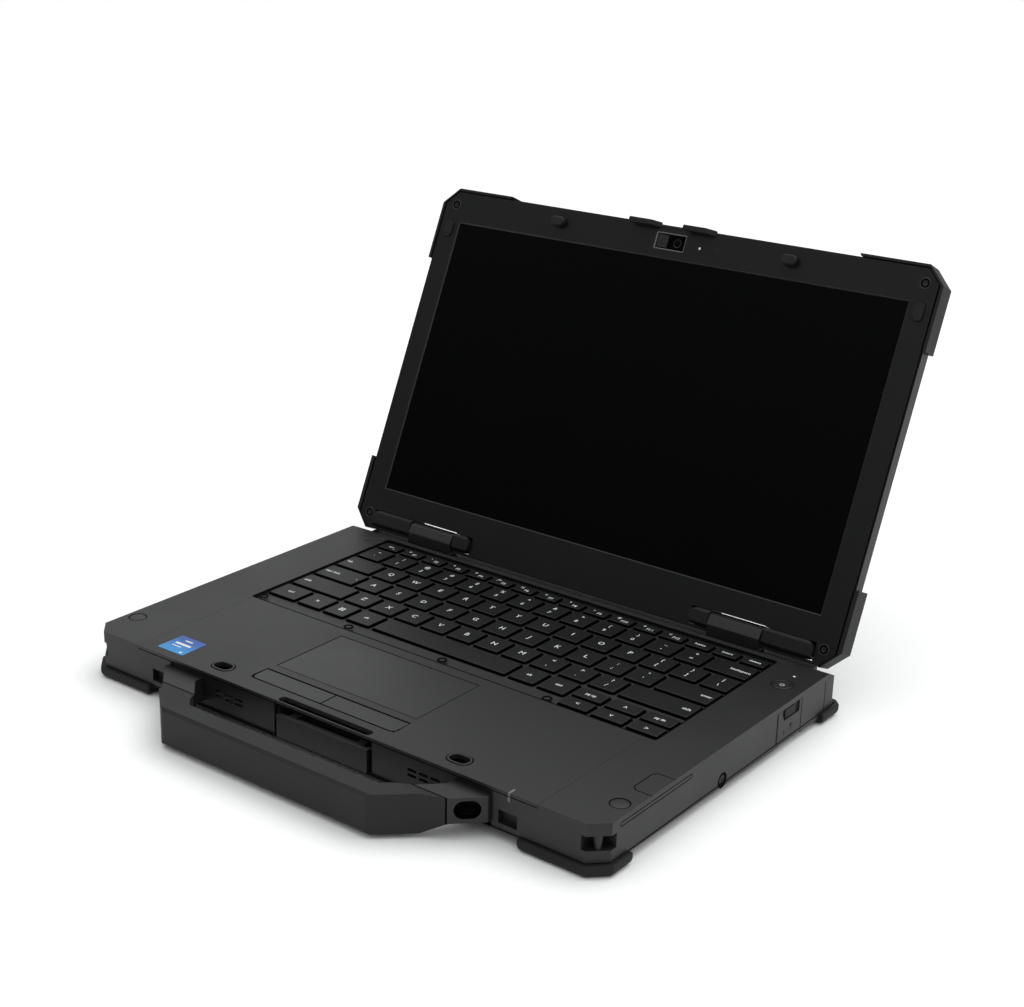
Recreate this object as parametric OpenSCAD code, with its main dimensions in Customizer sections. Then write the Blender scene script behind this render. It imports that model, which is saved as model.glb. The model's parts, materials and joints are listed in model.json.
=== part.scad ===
// Rugged 14 inch laptop computer with a front carry handle, open and standing on its feet.
// Base sub-parts are drawn with y = 0 at the front edge of the palm rest and z = 0 on the table.
// Lid sub-parts are drawn flat: x across, y up the display from its lower edge, z out of the screen.

/* [Base] */
// Width of the base over its side walls
base_w = 340; // [338:0.5:342]
// Depth of the base from the palm rest's front edge to the rear wall
base_d = 220; // [219.5:0.1:220.5]
// Height of the palm rest and side decks above the table
deck_z = 27; // [26.8:0.1:27.4]
// Height of the seam between the chassis frame and the bottom cover
seam_z = 6.5; // [6.3:0.1:6.5]
// Size of the 45 degree cut on the front corners
front_cut = 8.3; // [7.5:0.1:8.5]
// Thickness of the chassis walls
wall = 2.5; // [2.2:0.1:2.6]
// Thickness of the rubber feet below the seam, outside the walls
foot_proud = 2.5; // [1:0.1:3]

/* [Palm rest] */
// Width of the removable palm rest panel
palm_w = 269; // [266:0.5:269]
// Depth of the palm rest panel
palm_d = 87.5; // [87:0.1:87.8]
// Width of the touchpad
pad_w = 96.8; // [90:0.5:98]
// Depth of the touchpad
pad_d = 50.3; // [45:0.5:52]
// Distance of the touchpad's middle from the middle of the base, to the left
pad_left = 11.1; // [8:0.1:14]
// Depth of the two click buttons
click_d = 12.5; // [11:0.1:12.8]

/* [Keyboard] */
// Distance from one letter key to the next
key_pitch = 19.05; // [18.8:0.05:19.05]
// Gap between two key caps
key_gap = 2.6; // [2.2:0.1:3.2]
// How far a key travels
key_travel = 1.5; // [0.8:0.1:1.5]
// Depth of the function keys
function_key_d = 8.6; // [7:0.1:9]
// Radius of the power button
power_r = 4.5; // [3.5:0.1:5]

/* [Handle] */
// How far the grip stands out in front of the base
grip_front = 38.5; // [37:0.5:42]
// Half the length of the grip's straight front face
grip_half = 64; // [60:0.5:66]
// Radius of the screw wells in the handle mounts
well_r = 4; // [3.6:0.1:4.2]

/* [Lid] */
// Opening angle of the lid from closed
open_angle = 114.1; // [100:0.1:130]
// Thickness of the lid from the bezel's face to its back
lid_t = 11.6; // [11.2:0.1:12.2]
// Width of the visible display
display_w = 310.3; // [306:0.1:311]
// Height of the visible display
display_h = 175.1; // [173:0.1:176]
// Width of the lid over the lower bumpers
bumper_w = 345.2; // [344:0.1:348]

/* [Hinge] */
// Distance of the hinge axis behind the front edge
hinge_y = 218.5; // [218.3:0.1:218.7]
// Height of the hinge axis above the table
hinge_z = 30.8; // [30.6:0.1:31.2]
// Radius of the hinge pins
pin_r = 1.7; // [1.4:0.1:1.8]

/* [Hidden] */
$fn = 48;
// Running clearance between a pin and its bore
run = 0.06;
// Clearance round a part that sits in an opening
gap = 0.15;

// Decks and floors inside the base
lip_z = deck_z - 1.7;
palm_floor = deck_z - 2.4;
key_deck_z = deck_z - 1.8;
key_floor = deck_z - 3.6;
under_z = deck_z - 4.6;
key_top = deck_z - 0.3;
step_z = deck_z - 2;
step_y = base_d - 9.2;
floor_top = seam_z + 1.5;
ledge = 3;
key_ledge = 1.4;
palm_x = palm_w / 2;
keys_left = -136;
keys_right = 141;
keys_back = 206.6;
recess_x = 108.2;
latch_x = 33;

// Key rows: the front edge of each row and the left end of every row
rows_left = -135.6;
row_w = 275.9;
home_y = 137.6;
cap_d = key_pitch - key_gap;
arrow_y = 91.2;
arrow_d = 10.2;
arrow_pitch = 12.4;
modifier_widths = [22.5, 19.7, 17.8, 19.5];
space_w = 95.4;
right_modifier_widths = [18.8, 19.3];
arrow_widths = [20.5, 21.6, 20.8];
tab_w = 28.4;
caps_w = 31.7;
shift_w = 41;

// Handle
grip_back = 27;
mount_front = 16;
mount_in = 73.4;
mount_out = 94.3;
left_mount_extra = 2.7;
mount_low = 9;
mount_top = deck_z - 4.5;
well_x = 101.2;
well_y = -9.1;
well_z = 15.75;
handle_screw_r = 1.5;

// Hinge axis in the lid's own drawing
hinge_v = -21.7;
hinge_off = -2.9;
tower_in = 92.2;
tower_out = 125.3;
cover_in = 79;
cover_out = 157;

// Lid outline
lean = 180 - open_angle;
lid_w = base_w;
bezel_t = 1.5;
lid_low = -26.3;
lid_high = 194.8;
bezel_low = -26;
bezel_high = 194;
lid_cut = 8.6;
bumper_high = 196.5;
top_bumper_w = bumper_w - 1.4;
bumper_low = -26.8;
bumper_cut = 10.4;
rim_step = 2;
glass_back = -2.6;
panel_back = -6.4;

// The origin lies below the middle of the whole open laptop
lid_reach_y = hinge_y + (bumper_high - hinge_v) * cos(lean) + (lid_t + hinge_off) * sin(lean);
mid_y = (lid_reach_y - grip_front) / 2;

shell_color = [0.17, 0.175, 0.18];
dark_color = [0.09, 0.09, 0.1];
metal_color = [0.55, 0.56, 0.58];

// ---------- placing and plain shapes ----------

module at_base() {
    translate([0, -mid_y, 0]) children();
}

module at_lid() {
    translate([0, hinge_y - mid_y, hinge_z])
        rotate([lean, 0, 0])
            translate([0, -hinge_v, -hinge_off]) children();
}

module block(lo, hi) {
    translate(lo) cube(hi - lo);
}

// A profile drawn in y and z, drawn out along x
module along_x(x0, x1) {
    translate([x0, 0, 0]) rotate([90, 0, 90]) linear_extrude(x1 - x0) children();
}

module rod_x(r, x0, x1, y, z) {
    translate([x0, y, z]) rotate([0, 90, 0]) cylinder(r = r, h = x1 - x0);
}

module rod_y(r, y0, y1, x, z) {
    translate([x, y0, z]) rotate([-90, 0, 0]) cylinder(r = r, h = y1 - y0);
}

module both_sides() {
    children();
    mirror([1, 0, 0]) children();
}

// A slot with round ends along x
module obround(length, width, h) {
    flat = (length - width) / 2;
    for (s = [-1, 1]) translate([s * flat, 0, 0]) cylinder(d = width, h = h);
    translate([-flat, -width / 2, 0]) cube([2 * flat, width, h]);
}

// Points of a rectangle with rounded corners
function round_rect(w, d, r) = [
    for (c = [[w - r, d - r, 0], [r, d - r, 90], [r, r, 180], [w - r, r, 270]])
        for (a = [0 : 30 : 90]) [c[0] + r * cos(c[2] + a), c[1] + r * sin(c[2] + a)]
];

// Plan outline of the base, drawn in by e all round
corner_shift = sqrt(2) - 1;
function base_plan(e) = [
    [-base_w / 2 + front_cut + corner_shift * e, e],
    [base_w / 2 - front_cut - corner_shift * e, e],
    [base_w / 2 - e, front_cut + corner_shift * e],
    [base_w / 2 - e, base_d - e],
    [-base_w / 2 + e, base_d - e],
    [-base_w / 2 + e, front_cut + corner_shift * e]
];

// Outline with its four corners cut at 45 degrees
function cut_plan(w, low, high, cut) = [
    [-w / 2 + cut, low], [w / 2 - cut, low], [w / 2, low + cut], [w / 2, high - cut],
    [w / 2 - cut, high], [-w / 2 + cut, high], [-w / 2, high - cut], [-w / 2, low + cut]
];

// ---------- chassis ----------

strap_low = deck_z - 14;
strap_high = deck_z - 6.5;
strap_post = [base_w / 2 - 5.85, 5.85];
door_y = [157, 182];
left_door_y = [132, 182];
door_low = 4.6;
door_high = deck_z - 3;
door_t = 2.3;
door_pin_r = 0.6;
door_lug = 3.6;
pen_y = [15, 75];
pen_tab_y = [40, 60];
inlet_x = -130;
inlet_z = 14.5;
power_at = [157.2, 183];
side_screw_y = 104;
side_screw_z = 8.3;

module front_recess() {
    block([-recess_x, -1, seam_z - 1], [recess_x, 1, lip_z]);
    block([-latch_x - 0.2, -1, seam_z - 1], [latch_x + 0.2, 12.6, lip_z]);
}

module front_vents() {
    for (col = [0 : 2]) for (row = [0 : 1])
        block([56 + 7.2 * col, 0, deck_z - 13.2 + 2.9 * row],
            [61.6 + 7.2 * col, 5, deck_z - 11.6 + 2.9 * row]);
    block([112, -1, deck_z - 17.5], [123, 5, deck_z - 10.5]);
}

module rear_vents() {
    for (i = [0 : 13]) block([64 + 4 * i, base_d - 5, 10], [66.2 + 4 * i, base_d + 1, 19]);
}

// Pocket round the front corner with a post that a shoulder strap loops round
module strap_pocket() {
    out = base_w / 2;
    difference() {
        translate([0, 0, strap_low]) linear_extrude(strap_high - strap_low)
            polygon([[out - 11.1, -1], [out + 1, -1], [out + 1, 12.1], [out - 9, 12.1],
                [out - 11.1, 10]]);
        translate([strap_post[0], strap_post[1], strap_low - 1])
            cylinder(r1 = 1.5, r2 = 2.6, h = strap_high - strap_low + 2);
    }
}

module strap_boss() {
    intersection() {
        translate([0, 0, strap_low - 2]) linear_extrude(strap_high - strap_low + 4)
            polygon(base_plan(0));
        block([base_w / 2 - 14, -1, 0], [base_w / 2 + 1, 15.5, deck_z]);
    }
}

module handle_screw_path(r, from, to) {
    translate([well_x, well_y, well_z]) rotate([0, 0, 135]) rotate([0, 90, 0])
        translate([0, 0, from]) cylinder(r = r, h = to - from);
}

module pen_cover_shape(e) {
    side = base_w / 2;
    block([side - 1.2 - e, pen_y[0] - e, deck_z - 5 - e], [side + e, pen_y[1] + e, deck_z - 3 + e]);
    block([side - 1.2 - e, pen_tab_y[0] - e, deck_z - 5 - e],
        [side + e, pen_tab_y[1] + e, deck_z + e]);
    block([side - 11.4 - e, pen_tab_y[0] - e, deck_z - 1.2 - e],
        [side + e, pen_tab_y[1] + e, deck_z + e]);
}

// A door's opening in the side wall, from lug behind its front end, and up to top
module door_opening(span, lug, top) {
    block([base_w / 2 - wall - 0.5, span[0] + lug, 0], [base_w / 2 + 1, span[1], top]);
}

function door_axis(span) = [base_w / 2 - door_t / 2, span[0] + door_t / 2 + 0.2];
module door_bore(span, low) {
    translate([door_axis(span)[0], door_axis(span)[1], low])
        cylinder(r = door_pin_r + run, h = 2.8);
}

module status_light_shape(e) {
    block([117.4 - e, -e, deck_z - 0.8 - e], [118.6 + e, 4.5 + e, deck_z + e]);
    block([117.4 - e, -e, deck_z - 4.5 - e], [118.6 + e, 0.8 + e, deck_z + e]);
}

module chassis_frame() {
    side = base_w / 2;
    color(shell_color) at_base() difference() {
        union() {
            difference() {
                translate([0, 0, seam_z]) linear_extrude(deck_z - seam_z) polygon(base_plan(0));
                translate([0, 0, seam_z - 1]) linear_extrude(under_z - seam_z + 1)
                    polygon(base_plan(wall));
            }
            both_sides() strap_boss();
        }
        // lower rear strip under the hinges, and the seats of the rear corner caps
        block([-side - 1, step_y, step_z], [side + 1, base_d + 1, deck_z + 1]);
        both_sides() block([side - 12, step_y - 0.6, 0], [side + 1, base_d + 1, deck_z + 1]);
        // palm rest opening with its ledge
        block([-palm_x, -1, lip_z], [palm_x, palm_d, deck_z + 1]);
        block([-palm_x, wall, palm_floor], [palm_x, palm_d, deck_z + 1]);
        block([-palm_x + ledge, wall + 2, 0], [palm_x - ledge, palm_d - ledge, deck_z + 1]);
        // keyboard opening with its ledge
        block([keys_left, palm_d, key_floor], [keys_right, keys_back, deck_z + 1]);
        block([keys_left + key_ledge, palm_d + key_ledge, 0],
            [keys_right - key_ledge, keys_back - key_ledge, deck_z + 1]);
        front_recess();
        both_sides() front_vents();
        both_sides() strap_pocket();
        both_sides() handle_screw_path(handle_screw_r + 0.1, 0, 18);
        rear_vents();
        door_opening(door_y, 0, door_high);
        mirror([1, 0, 0]) door_opening(left_door_y, 0, door_high);
        door_bore(door_y, door_high - 1);
        mirror([1, 0, 0]) door_bore(left_door_y, door_high - 1);
        pen_cover_shape(0.1);
        status_light_shape(0.02);
        translate([power_at[0], power_at[1], deck_z - 2.9]) cylinder(r = power_r + 0.25, h = 5);
        translate([power_at[0], power_at[1] + 13, deck_z - 0.6]) cylinder(r = 0.9, h = 2);
        rod_y(5.6, base_d - 4, base_d + 1, inlet_x, inlet_z);
        both_sides() rod_x(4, side - 1.6, side + 1, side_screw_y, side_screw_z);
        both_sides() translate([162.5, 25, deck_z - 0.4]) cylinder(r = 5.2, h = 1);
    }
}

module rear_corner() {
    side = base_w / 2;
    color(shell_color) at_base() intersection() {
        translate([0, 0, seam_z]) linear_extrude(deck_z - seam_z)
            polygon([[side - 11.9, step_y - 0.5], [side, step_y - 0.5], [side, base_d - 3],
                [side - 3, base_d], [side - 11.9, base_d]]);
        along_x(side - 20, side + 1) polygon([[step_y - 1, 0], [base_d + 1, 0],
            [base_d + 1, deck_z - 5], [step_y, deck_z], [step_y - 1, deck_z]]);
    }
}
module rear_corner_right() { rear_corner(); }
module rear_corner_left() { mirror([1, 0, 0]) rear_corner(); }

function front_foot(e) = [
    [124.5 + e, -foot_proud + e], [base_w / 2 - 7 - 0.4 * e, -foot_proud + e],
    [base_w / 2 + foot_proud - e, 7 + 0.4 * e], [base_w / 2 + foot_proud - e, 23 - e],
    [base_w / 2 - 10, 23 - e], [124.5 + e, 10 - e]
];
function rear_foot(e) = [
    [128 + e, 212 + e], [base_w / 2 - 12, 203 + e], [base_w / 2 + foot_proud - e, 203 + e],
    [base_w / 2 + foot_proud - e, base_d + 1 - 0.4 * e], [base_w / 2 - 1.5 - 0.4 * e, base_d + 5 - e],
    [128 + e, base_d + 5 - e]
];

// A rubber foot whose lower edge is rounded
module foot(outer, mid, low) {
    hull() {
        linear_extrude(0.01) polygon(low);
        translate([0, 0, 1.2]) linear_extrude(0.01) polygon(mid);
        translate([0, 0, 3]) linear_extrude(seam_z - 3) polygon(outer);
    }
}

module feet_front() {
    color(dark_color) at_base() both_sides()
        foot(front_foot(0), front_foot(0.7), front_foot(2.4));
}

module feet_rear() {
    color(dark_color) at_base() both_sides()
        foot(rear_foot(0), rear_foot(0.7), rear_foot(2.4));
}

bottom_screws_at = [[-110, 40], [110, 40], [0, 110], [-140, 120], [140, 120], [-100, 200], [100, 200]];

module bottom_cover() {
    side = base_w / 2;
    color(shell_color) at_base() difference() {
        union() {
            intersection() {
                linear_extrude(seam_z) polygon(base_plan(0));
                along_x(-side - 1, side + 1)
                    polygon([[-1, 5.8], [base_d + 1, 3.6], [base_d + 1, 9], [-1, 9]]);
            }
            translate([0, 0, seam_z]) linear_extrude(floor_top - seam_z)
                polygon(base_plan(wall + 0.2));
        }
        both_sides() translate([0, 0, -1]) linear_extrude(seam_z + 1) polygon(front_foot(0));
        both_sides() translate([0, 0, -1]) linear_extrude(seam_z + 1) polygon(rear_foot(0));
        both_sides() block([side - 12, step_y - 0.6, seam_z], [side + 1, base_d + 1, 12]);
        both_sides() block([side - 14.1, -1, seam_z], [side + 1, 15.6, 12]);
        door_opening(door_y, door_lug, 12);
        mirror([1, 0, 0]) door_opening(left_door_y, door_lug, 12);
        door_bore(door_y, 4.9);
        mirror([1, 0, 0]) door_bore(left_door_y, 4.9);
        for (i = [0 : 8]) block([80 + 5 * i, 150, 0], [82.4 + 5 * i, 186, 12]);
        for (p = bottom_screws_at) {
            translate([p[0], p[1], -1]) cylinder(r = 3.2, h = seam_z + 1);
            translate([p[0], p[1], -1]) cylinder(r = 1.3, h = 12);
        }
        both_sides() rod_x(4, side - 1.6, side + 1, side_screw_y, side_screw_z);
    }
}

module bottom_screws() {
    side = base_w / 2;
    color(metal_color) at_base() {
        for (p = bottom_screws_at) translate([p[0], p[1], seam_z]) difference() {
            union() {
                translate([0, 0, -1.1]) cylinder(r = 3, h = 1.1);
                cylinder(r = 1.2, h = 2);
            }
            translate([0, 0, -2]) cylinder(r = 1, h = 1.4, $fn = 6);
        }
        both_sides() difference() {
            rod_x(3.2, side - 1.6, side - 0.3, side_screw_y, side_screw_z);
            rod_x(1.2, side - 0.9, side, side_screw_y, side_screw_z);
        }
    }
}

// ---------- palm rest, touchpad and keyboard ----------

click_y = 11.5;
pad_y = 29.7;
click_w = pad_w + 1.7;
click_floor = deck_z - 2;
peg_x = 80;
peg_y = 11;

module palm_rest() {
    x0 = -pad_left - pad_w / 2;
    x1 = -pad_left + pad_w / 2;
    color(shell_color) at_base() difference() {
        union() {
            block([-palm_x + gap, wall + gap, palm_floor], [palm_x - gap, palm_d - gap, deck_z]);
            block([-palm_x + gap, 0, lip_z], [palm_x - gap, wall + 1, deck_z]);
            block([x0 - 4, click_y - 2, deck_z - 4.2], [x1 + 4, click_y + click_d + 2, deck_z - 1]);
        }
        // pocket under the click buttons
        block([x0 - 1, click_y, deck_z - 3], [x1 + 0.7, click_y + click_d, deck_z + 1]);
        // touchpad seat
        block([x0, pad_y, deck_z - 1.2], [x1, pad_y + pad_d, deck_z + 1]);
        // slot for the lid's hooks
        translate([0, 3.4, 0]) obround(62, 5.2, deck_z + 1);
        // sockets for the lid's pegs
        both_sides() translate([peg_x, peg_y, 0]) obround(11, 7, deck_z + 1);
        status_light_shape(0.02);
    }
}

module touchpad() {
    x0 = -pad_left - pad_w / 2;
    color(shell_color) at_base()
        block([x0 + gap, pad_y + gap, deck_z - 1.2],
            [x0 + pad_w - gap, pad_y + pad_d - gap, deck_z - 0.1]);
}

module click_button() {
    w = click_w / 2 - 2 * gap;
    color(shell_color) linear_extrude(1.9)
        polygon([[0, 3], [2, 0], [w, 0], [w, click_d - 2 * gap], [0, click_d - 2 * gap]]);
}
module click_button_left() {
    at_base() translate([-pad_left - pad_w / 2 - 1 + gap, click_y + gap, click_floor])
        click_button();
}
module click_button_right() {
    at_base() translate([-pad_left + pad_w / 2 + 0.7 - gap, click_y + gap, click_floor])
        mirror([1, 0, 0]) click_button();
}

module status_light() {
    color("white") at_base() status_light_shape(0);
}

module power_button() {
    color(shell_color) at_base() translate([power_at[0], power_at[1], deck_z - 1.8])
        cylinder(r = power_r, h = 1.8);
}

module pen_bay_cover() {
    color(shell_color) at_base() pen_cover_shape(0);
}

function sum_to(list, n) = n == 0 ? 0 : list[n - 1] + sum_to(list, n - 1);
function letter_row(first, count) =
    concat([first], [for (i = [1 : count]) key_pitch], [row_w - first - count * key_pitch]);

// One row of key holes or key caps, from the widths of its cells
module key_row(widths, left, front, depth, bottom, height, grow) {
    for (i = [0 : len(widths) - 1])
        translate([left + sum_to(widths, i) + key_gap / 2 - grow, front - grow, bottom])
            linear_extrude(height)
                polygon(round_rect(widths[i] - key_gap + 2 * grow, depth + 2 * grow, 1.2));
}

function row_y(n) = home_y + n * key_pitch;
space_left = rows_left + sum_to(modifier_widths, 4);
right_modifiers_left = space_left + space_w;
arrows_left = right_modifiers_left + right_modifier_widths[0] + right_modifier_widths[1];

module function_row(b, h, g) {
    key_row([for (i = [1 : 16]) row_w / 16], rows_left, row_y(3), function_key_d, b, h, g);
}
module number_row(b, h, g) {
    key_row(letter_row(key_pitch, 12), rows_left, row_y(2), cap_d, b, h, g);
}
module upper_row(b, h, g) {
    key_row(letter_row(tab_w, 12), rows_left, row_y(1), cap_d, b, h, g);
}
module home_row(b, h, g) {
    key_row(letter_row(caps_w, 11), rows_left, row_y(0), cap_d, b, h, g);
}
module lower_row(b, h, g) {
    key_row(letter_row(shift_w, 10), rows_left, row_y(-1), cap_d, b, h, g);
}
module modifier_row(b, h, g) {
    key_row(modifier_widths, rows_left, row_y(-2), cap_d, b, h, g);
    key_row(right_modifier_widths, right_modifiers_left, row_y(-2), cap_d, b, h, g);
}
module space_key(b, h, g) {
    key_row([space_w], space_left, row_y(-2), cap_d, b, h, g);
}
module arrow_cluster(b, h, g) {
    for (n = [0, 1])
        key_row(arrow_widths, arrows_left, arrow_y + n * arrow_pitch, arrow_d, b, h, g);
}

cap_h = 2.6;
module cap_color() { color(dark_color) at_base() children(); }
module function_keys() { cap_color() function_row(key_top - cap_h, cap_h, 0); }
module number_keys() { cap_color() number_row(key_top - cap_h, cap_h, 0); }
module upper_letter_keys() { cap_color() upper_row(key_top - cap_h, cap_h, 0); }
module home_letter_keys() { cap_color() home_row(key_top - cap_h, cap_h, 0); }
module lower_letter_keys() { cap_color() lower_row(key_top - cap_h, cap_h, 0); }
module modifier_keys() { cap_color() modifier_row(key_top - cap_h, cap_h, 0); }
module space_bar() { cap_color() space_key(key_top - cap_h, cap_h, 0); }
module arrow_keys() { cap_color() arrow_cluster(key_top - cap_h, cap_h, 0); }

deck_screws_at = [[-64.9, 91.6], [2.4, 91.6], [72.8, 90.6], [-131, 92]];

module keyboard_deck() {
    b = key_floor - 1;
    h = 4;
    g = 0.4;
    color(shell_color) at_base() difference() {
        block([keys_left + gap, palm_d + gap, key_floor], [keys_right - gap, keys_back - gap,
            key_deck_z]);
        function_row(b, h, g);
        number_row(b, h, g);
        upper_row(b, h, g);
        home_row(b, h, g);
        lower_row(b, h, g);
        modifier_row(b, h, g);
        space_key(b, h, g);
        arrow_cluster(b, h, g);
        for (p = deck_screws_at) translate([p[0], p[1], key_deck_z - 0.9])
            cylinder(r = 2.1, h = 2);
    }
}

module deck_screws() {
    color(metal_color) at_base() for (p = deck_screws_at)
        translate([p[0], p[1], key_deck_z - 0.9]) difference() {
            cylinder(r = 1.9, h = 0.8);
            translate([0, 0, 0.3]) cylinder(r = 0.8, h = 1, $fn = 6);
        }
}

module switch_plate() {
    color(metal_color) at_base()
        block([keys_left, palm_d, under_z - 1.2], [keys_right, keys_back - 0.6, under_z]);
}

// ---------- handle ----------

// The mount's sloping end stands further out on the left, by the given extra
module handle_mount(extra) {
    wall_end = recess_x - 0.2;
    color(shell_color) at_base() difference() {
        translate([0, 0, mount_low]) linear_extrude(mount_top - mount_low) union() {
            polygon([[85, -0.1], [85, -4.4], [mount_in, -mount_front],
                [mount_out + extra, -mount_front], [wall_end + extra, -2.3],
                [wall_end + extra, -0.1]]);
            translate([85, -0.2]) square([wall_end - 85, 1.2]);
        }
        handle_screw_path(well_r, -5, 7);
        handle_screw_path(handle_screw_r + 0.1, 0, 18);
    }
}
module handle_mount_right() { handle_mount(0); }
module handle_mount_left() { mirror([1, 0, 0]) handle_mount(left_mount_extra); }

module handle_screws() {
    color(metal_color) at_base() both_sides() difference() {
        union() {
            handle_screw_path(3.2, 4.2, 7);
            handle_screw_path(handle_screw_r, 7, 17.5);
        }
        handle_screw_path(1.3, 3, 5.8);
    }
}

grip_top = deck_z - 3.5;
grip_low = 2.6;
arm_y = -22;

// An arm of the handle, from the grip's end to the mount
module grip_arm(inner, outer, mount_end) {
    hull() {
        translate([inner, arm_y, grip_low]) cube([outer - inner, 0.01, grip_top - grip_low]);
        translate([mount_in, -mount_front - 0.01, mount_low])
            cube([mount_end - mount_in, 0.01, mount_top - mount_low]);
    }
}

module handle_grip() {
    right_out = 82.7;
    left_out = 91;
    color(dark_color) at_base() union() {
        // straight bar with bevelled edges, its left end longer than its right
        intersection() {
            linear_extrude(deck_z) polygon([[-left_out, arm_y], [-left_out, -24], [-76, -37],
                [-grip_half - 8.5, -grip_front], [grip_half, -grip_front], [67, -36.5],
                [right_out, arm_y], [66, arm_y], [61, -grip_back], [-65, -grip_back],
                [-70, arm_y]]);
            along_x(-95, 90) polygon([[-grip_front, grip_low + 1.2], [-grip_front, grip_top - 1.5],
                [-grip_front + 1.5, grip_top], [-21, grip_top], [-21, grip_low],
                [-grip_front + 1.2, grip_low]]);
        }
        grip_arm(66, right_out, mount_out);
        mirror([1, 0, 0]) grip_arm(70, left_out, mount_out + left_mount_extra);
    }
}

// ---------- latch ----------

latch_axis = [6, 16.5];

module latch_housing() {
    color(dark_color) at_base() difference() {
        block([-latch_x, 2.7, floor_top], [latch_x, 12.4, deck_z - 5]);
        block([-latch_x + 1.8, 0, floor_top + 1.2], [latch_x - 1.8, 10.4, deck_z]);
        rod_x(1.02, -latch_x - 1, latch_x + 1, latch_axis[0], latch_axis[1]);
    }
}

module latch_pin() {
    color(metal_color) at_base() rod_x(1, -latch_x + 0.1, latch_x - 0.1, latch_axis[0],
        latch_axis[1]);
}

module latch_flap() {
    color(shell_color) at_base() difference() {
        union() {
            block([-30.6, -0.2, seam_z + 0.2], [30.6, 2.4, 19.3]);
            both_sides() block([20, 2.3, 14.2], [25, 8, 18.8]);
        }
        rod_x(1 + run, -35, 35, latch_axis[0], latch_axis[1]);
    }
}

// ---------- side doors and connectors ----------

// A port cover on the right wall that swings on pins at its front edge, with a finger notch
module port_door(span) {
    side = base_w / 2;
    axis = door_axis(span);
    end = span[1] - 0.2;
    top = door_high - 0.2;
    color(shell_color) at_base() {
        difference() {
            translate([0, 0, door_low]) linear_extrude(top - door_low) union() {
                translate(axis) circle(r = door_t / 2);
                translate([side - door_t, axis[1]]) square([door_t, end - axis[1]]);
            }
            block([side - 3, span[0] - 1, 0], [side + 1, span[0] + door_lug + 0.6, seam_z + 0.1]);
            along_x(side - 1.3, side + 1) polygon([[span[0] + 4, top + 1], [span[0] + 4, top - 0.8],
                [span[0] + 7, top - 6.4], [end - 2.2, top - 6.4], [end - 2.2, top + 1]]);
        }
        translate([axis[0], axis[1], 5.1]) cylinder(r = door_pin_r, h = door_high + 1.6 - 5.1);
    }
}
module side_door_right() { port_door(door_y); }
module side_door_left() { mirror([1, 0, 0]) port_door(left_door_y); }

// A connector shell with its socket and tongue, mouth towards +x
module socket(x, y, z, w, h, depth) {
    difference() {
        block([x - depth, y - w / 2, z - h / 2], [x, y + w / 2, z + h / 2]);
        block([x - depth + 2, y - w / 2 + 0.6, z - h / 2 + 0.6],
            [x + 1, y + w / 2 - 0.6, z + h / 2 - 0.6]);
    }
    block([x - depth + 1.5, y - w / 2 + 2, z - 0.5], [x - 1.5, y + w / 2 - 2, z + 0.5]);
}

module port_connectors() {
    x = base_w / 2 - 3.2;
    color(metal_color) at_base() {
        socket(x, 174, 17, 13, 6, 14);
        difference() {
            rod_x(3.6, x - 12, x, 162, 17);
            rod_x(1.8, x - 10, x + 1, 162, 17);
        }
        mirror([1, 0, 0]) {
            socket(x, 143, 17, 13, 6, 14);
            socket(x, 159, 17, 15, 6, 12);
            socket(x, 174.5, 17, 13, 6, 14);
        }
    }
}

module power_inlet() {
    color(dark_color) at_base() difference() {
        union() {
            rod_y(5.4, base_d - 4, base_d - 0.4, inlet_x, inlet_z);
            block([inlet_x - 6, base_d - 15, inlet_z - 6], [inlet_x + 6, base_d - 4, inlet_z + 6]);
        }
        rod_y(3.7, base_d - 12, base_d + 1, inlet_x, inlet_z);
    }
    color(metal_color) at_base() rod_y(0.4, base_d - 12.2, base_d - 2, inlet_x, inlet_z);
}

// ---------- inside the base ----------

board_z = 11;
board_t = 1.4;
fan_at = [102, 168];

module mainboard() {
    color("darkgreen") at_base() difference() {
        union() {
            block([-150, 92, board_z], [150, 205, board_z + board_t]);
            block([-60, 150, board_z + board_t], [-30, 180, board_z + board_t + 1.5]);
        }
        block([fan_at[0] - 32, fan_at[1] - 32, 0], [fan_at[0] + 32, base_d, deck_z]);
        for (p = bottom_screws_at) translate([p[0], p[1], 0]) cylinder(r = 3, h = 20);
    }
    color("darkgreen") at_base() for (x = [-145, -70, 60, 145])
        translate([x, 98, floor_top]) cylinder(r = 2.5, h = board_z - floor_top);
}

module battery() {
    color(dark_color) at_base() {
        block([-98, 14.5, floor_top], [98, 84, 19]);
        for (i = [0 : 2]) block([-92 + 62 * i, 18, 19], [-32 + 62 * i, 80, 19.6]);
    }
}

module fan_housing() {
    x = fan_at[0];
    y = fan_at[1];
    color(dark_color) at_base() {
        difference() {
            block([x - 30, y - 30, floor_top], [x + 30, y + 30, floor_top + 9]);
            translate([x, y, floor_top + 1]) cylinder(r = 27, h = 6.8);
            block([x - 27, y, floor_top + 1], [x + 27, y + 31, floor_top + 7.8]);
            translate([x, y, floor_top + 5]) cylinder(r = 18, h = 5);
        }
        translate([x, y, floor_top + 0.9]) cylinder(r = 1, h = 5);
    }
}

module fan_rotor() {
    blades = 17;
    color("dimgray") at_base() translate([fan_at[0], fan_at[1], floor_top + 1.4]) difference() {
        union() {
            cylinder(r = 10, h = 5);
            for (i = [0 : blades - 1]) rotate([0, 0, i * 360 / blades])
                translate([8, -0.4, 0]) rotate([0, 0, 18]) cube([16.5, 0.8, 5]);
        }
        translate([0, 0, -1]) cylinder(r = 1 + run, h = 7);
    }
}

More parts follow.
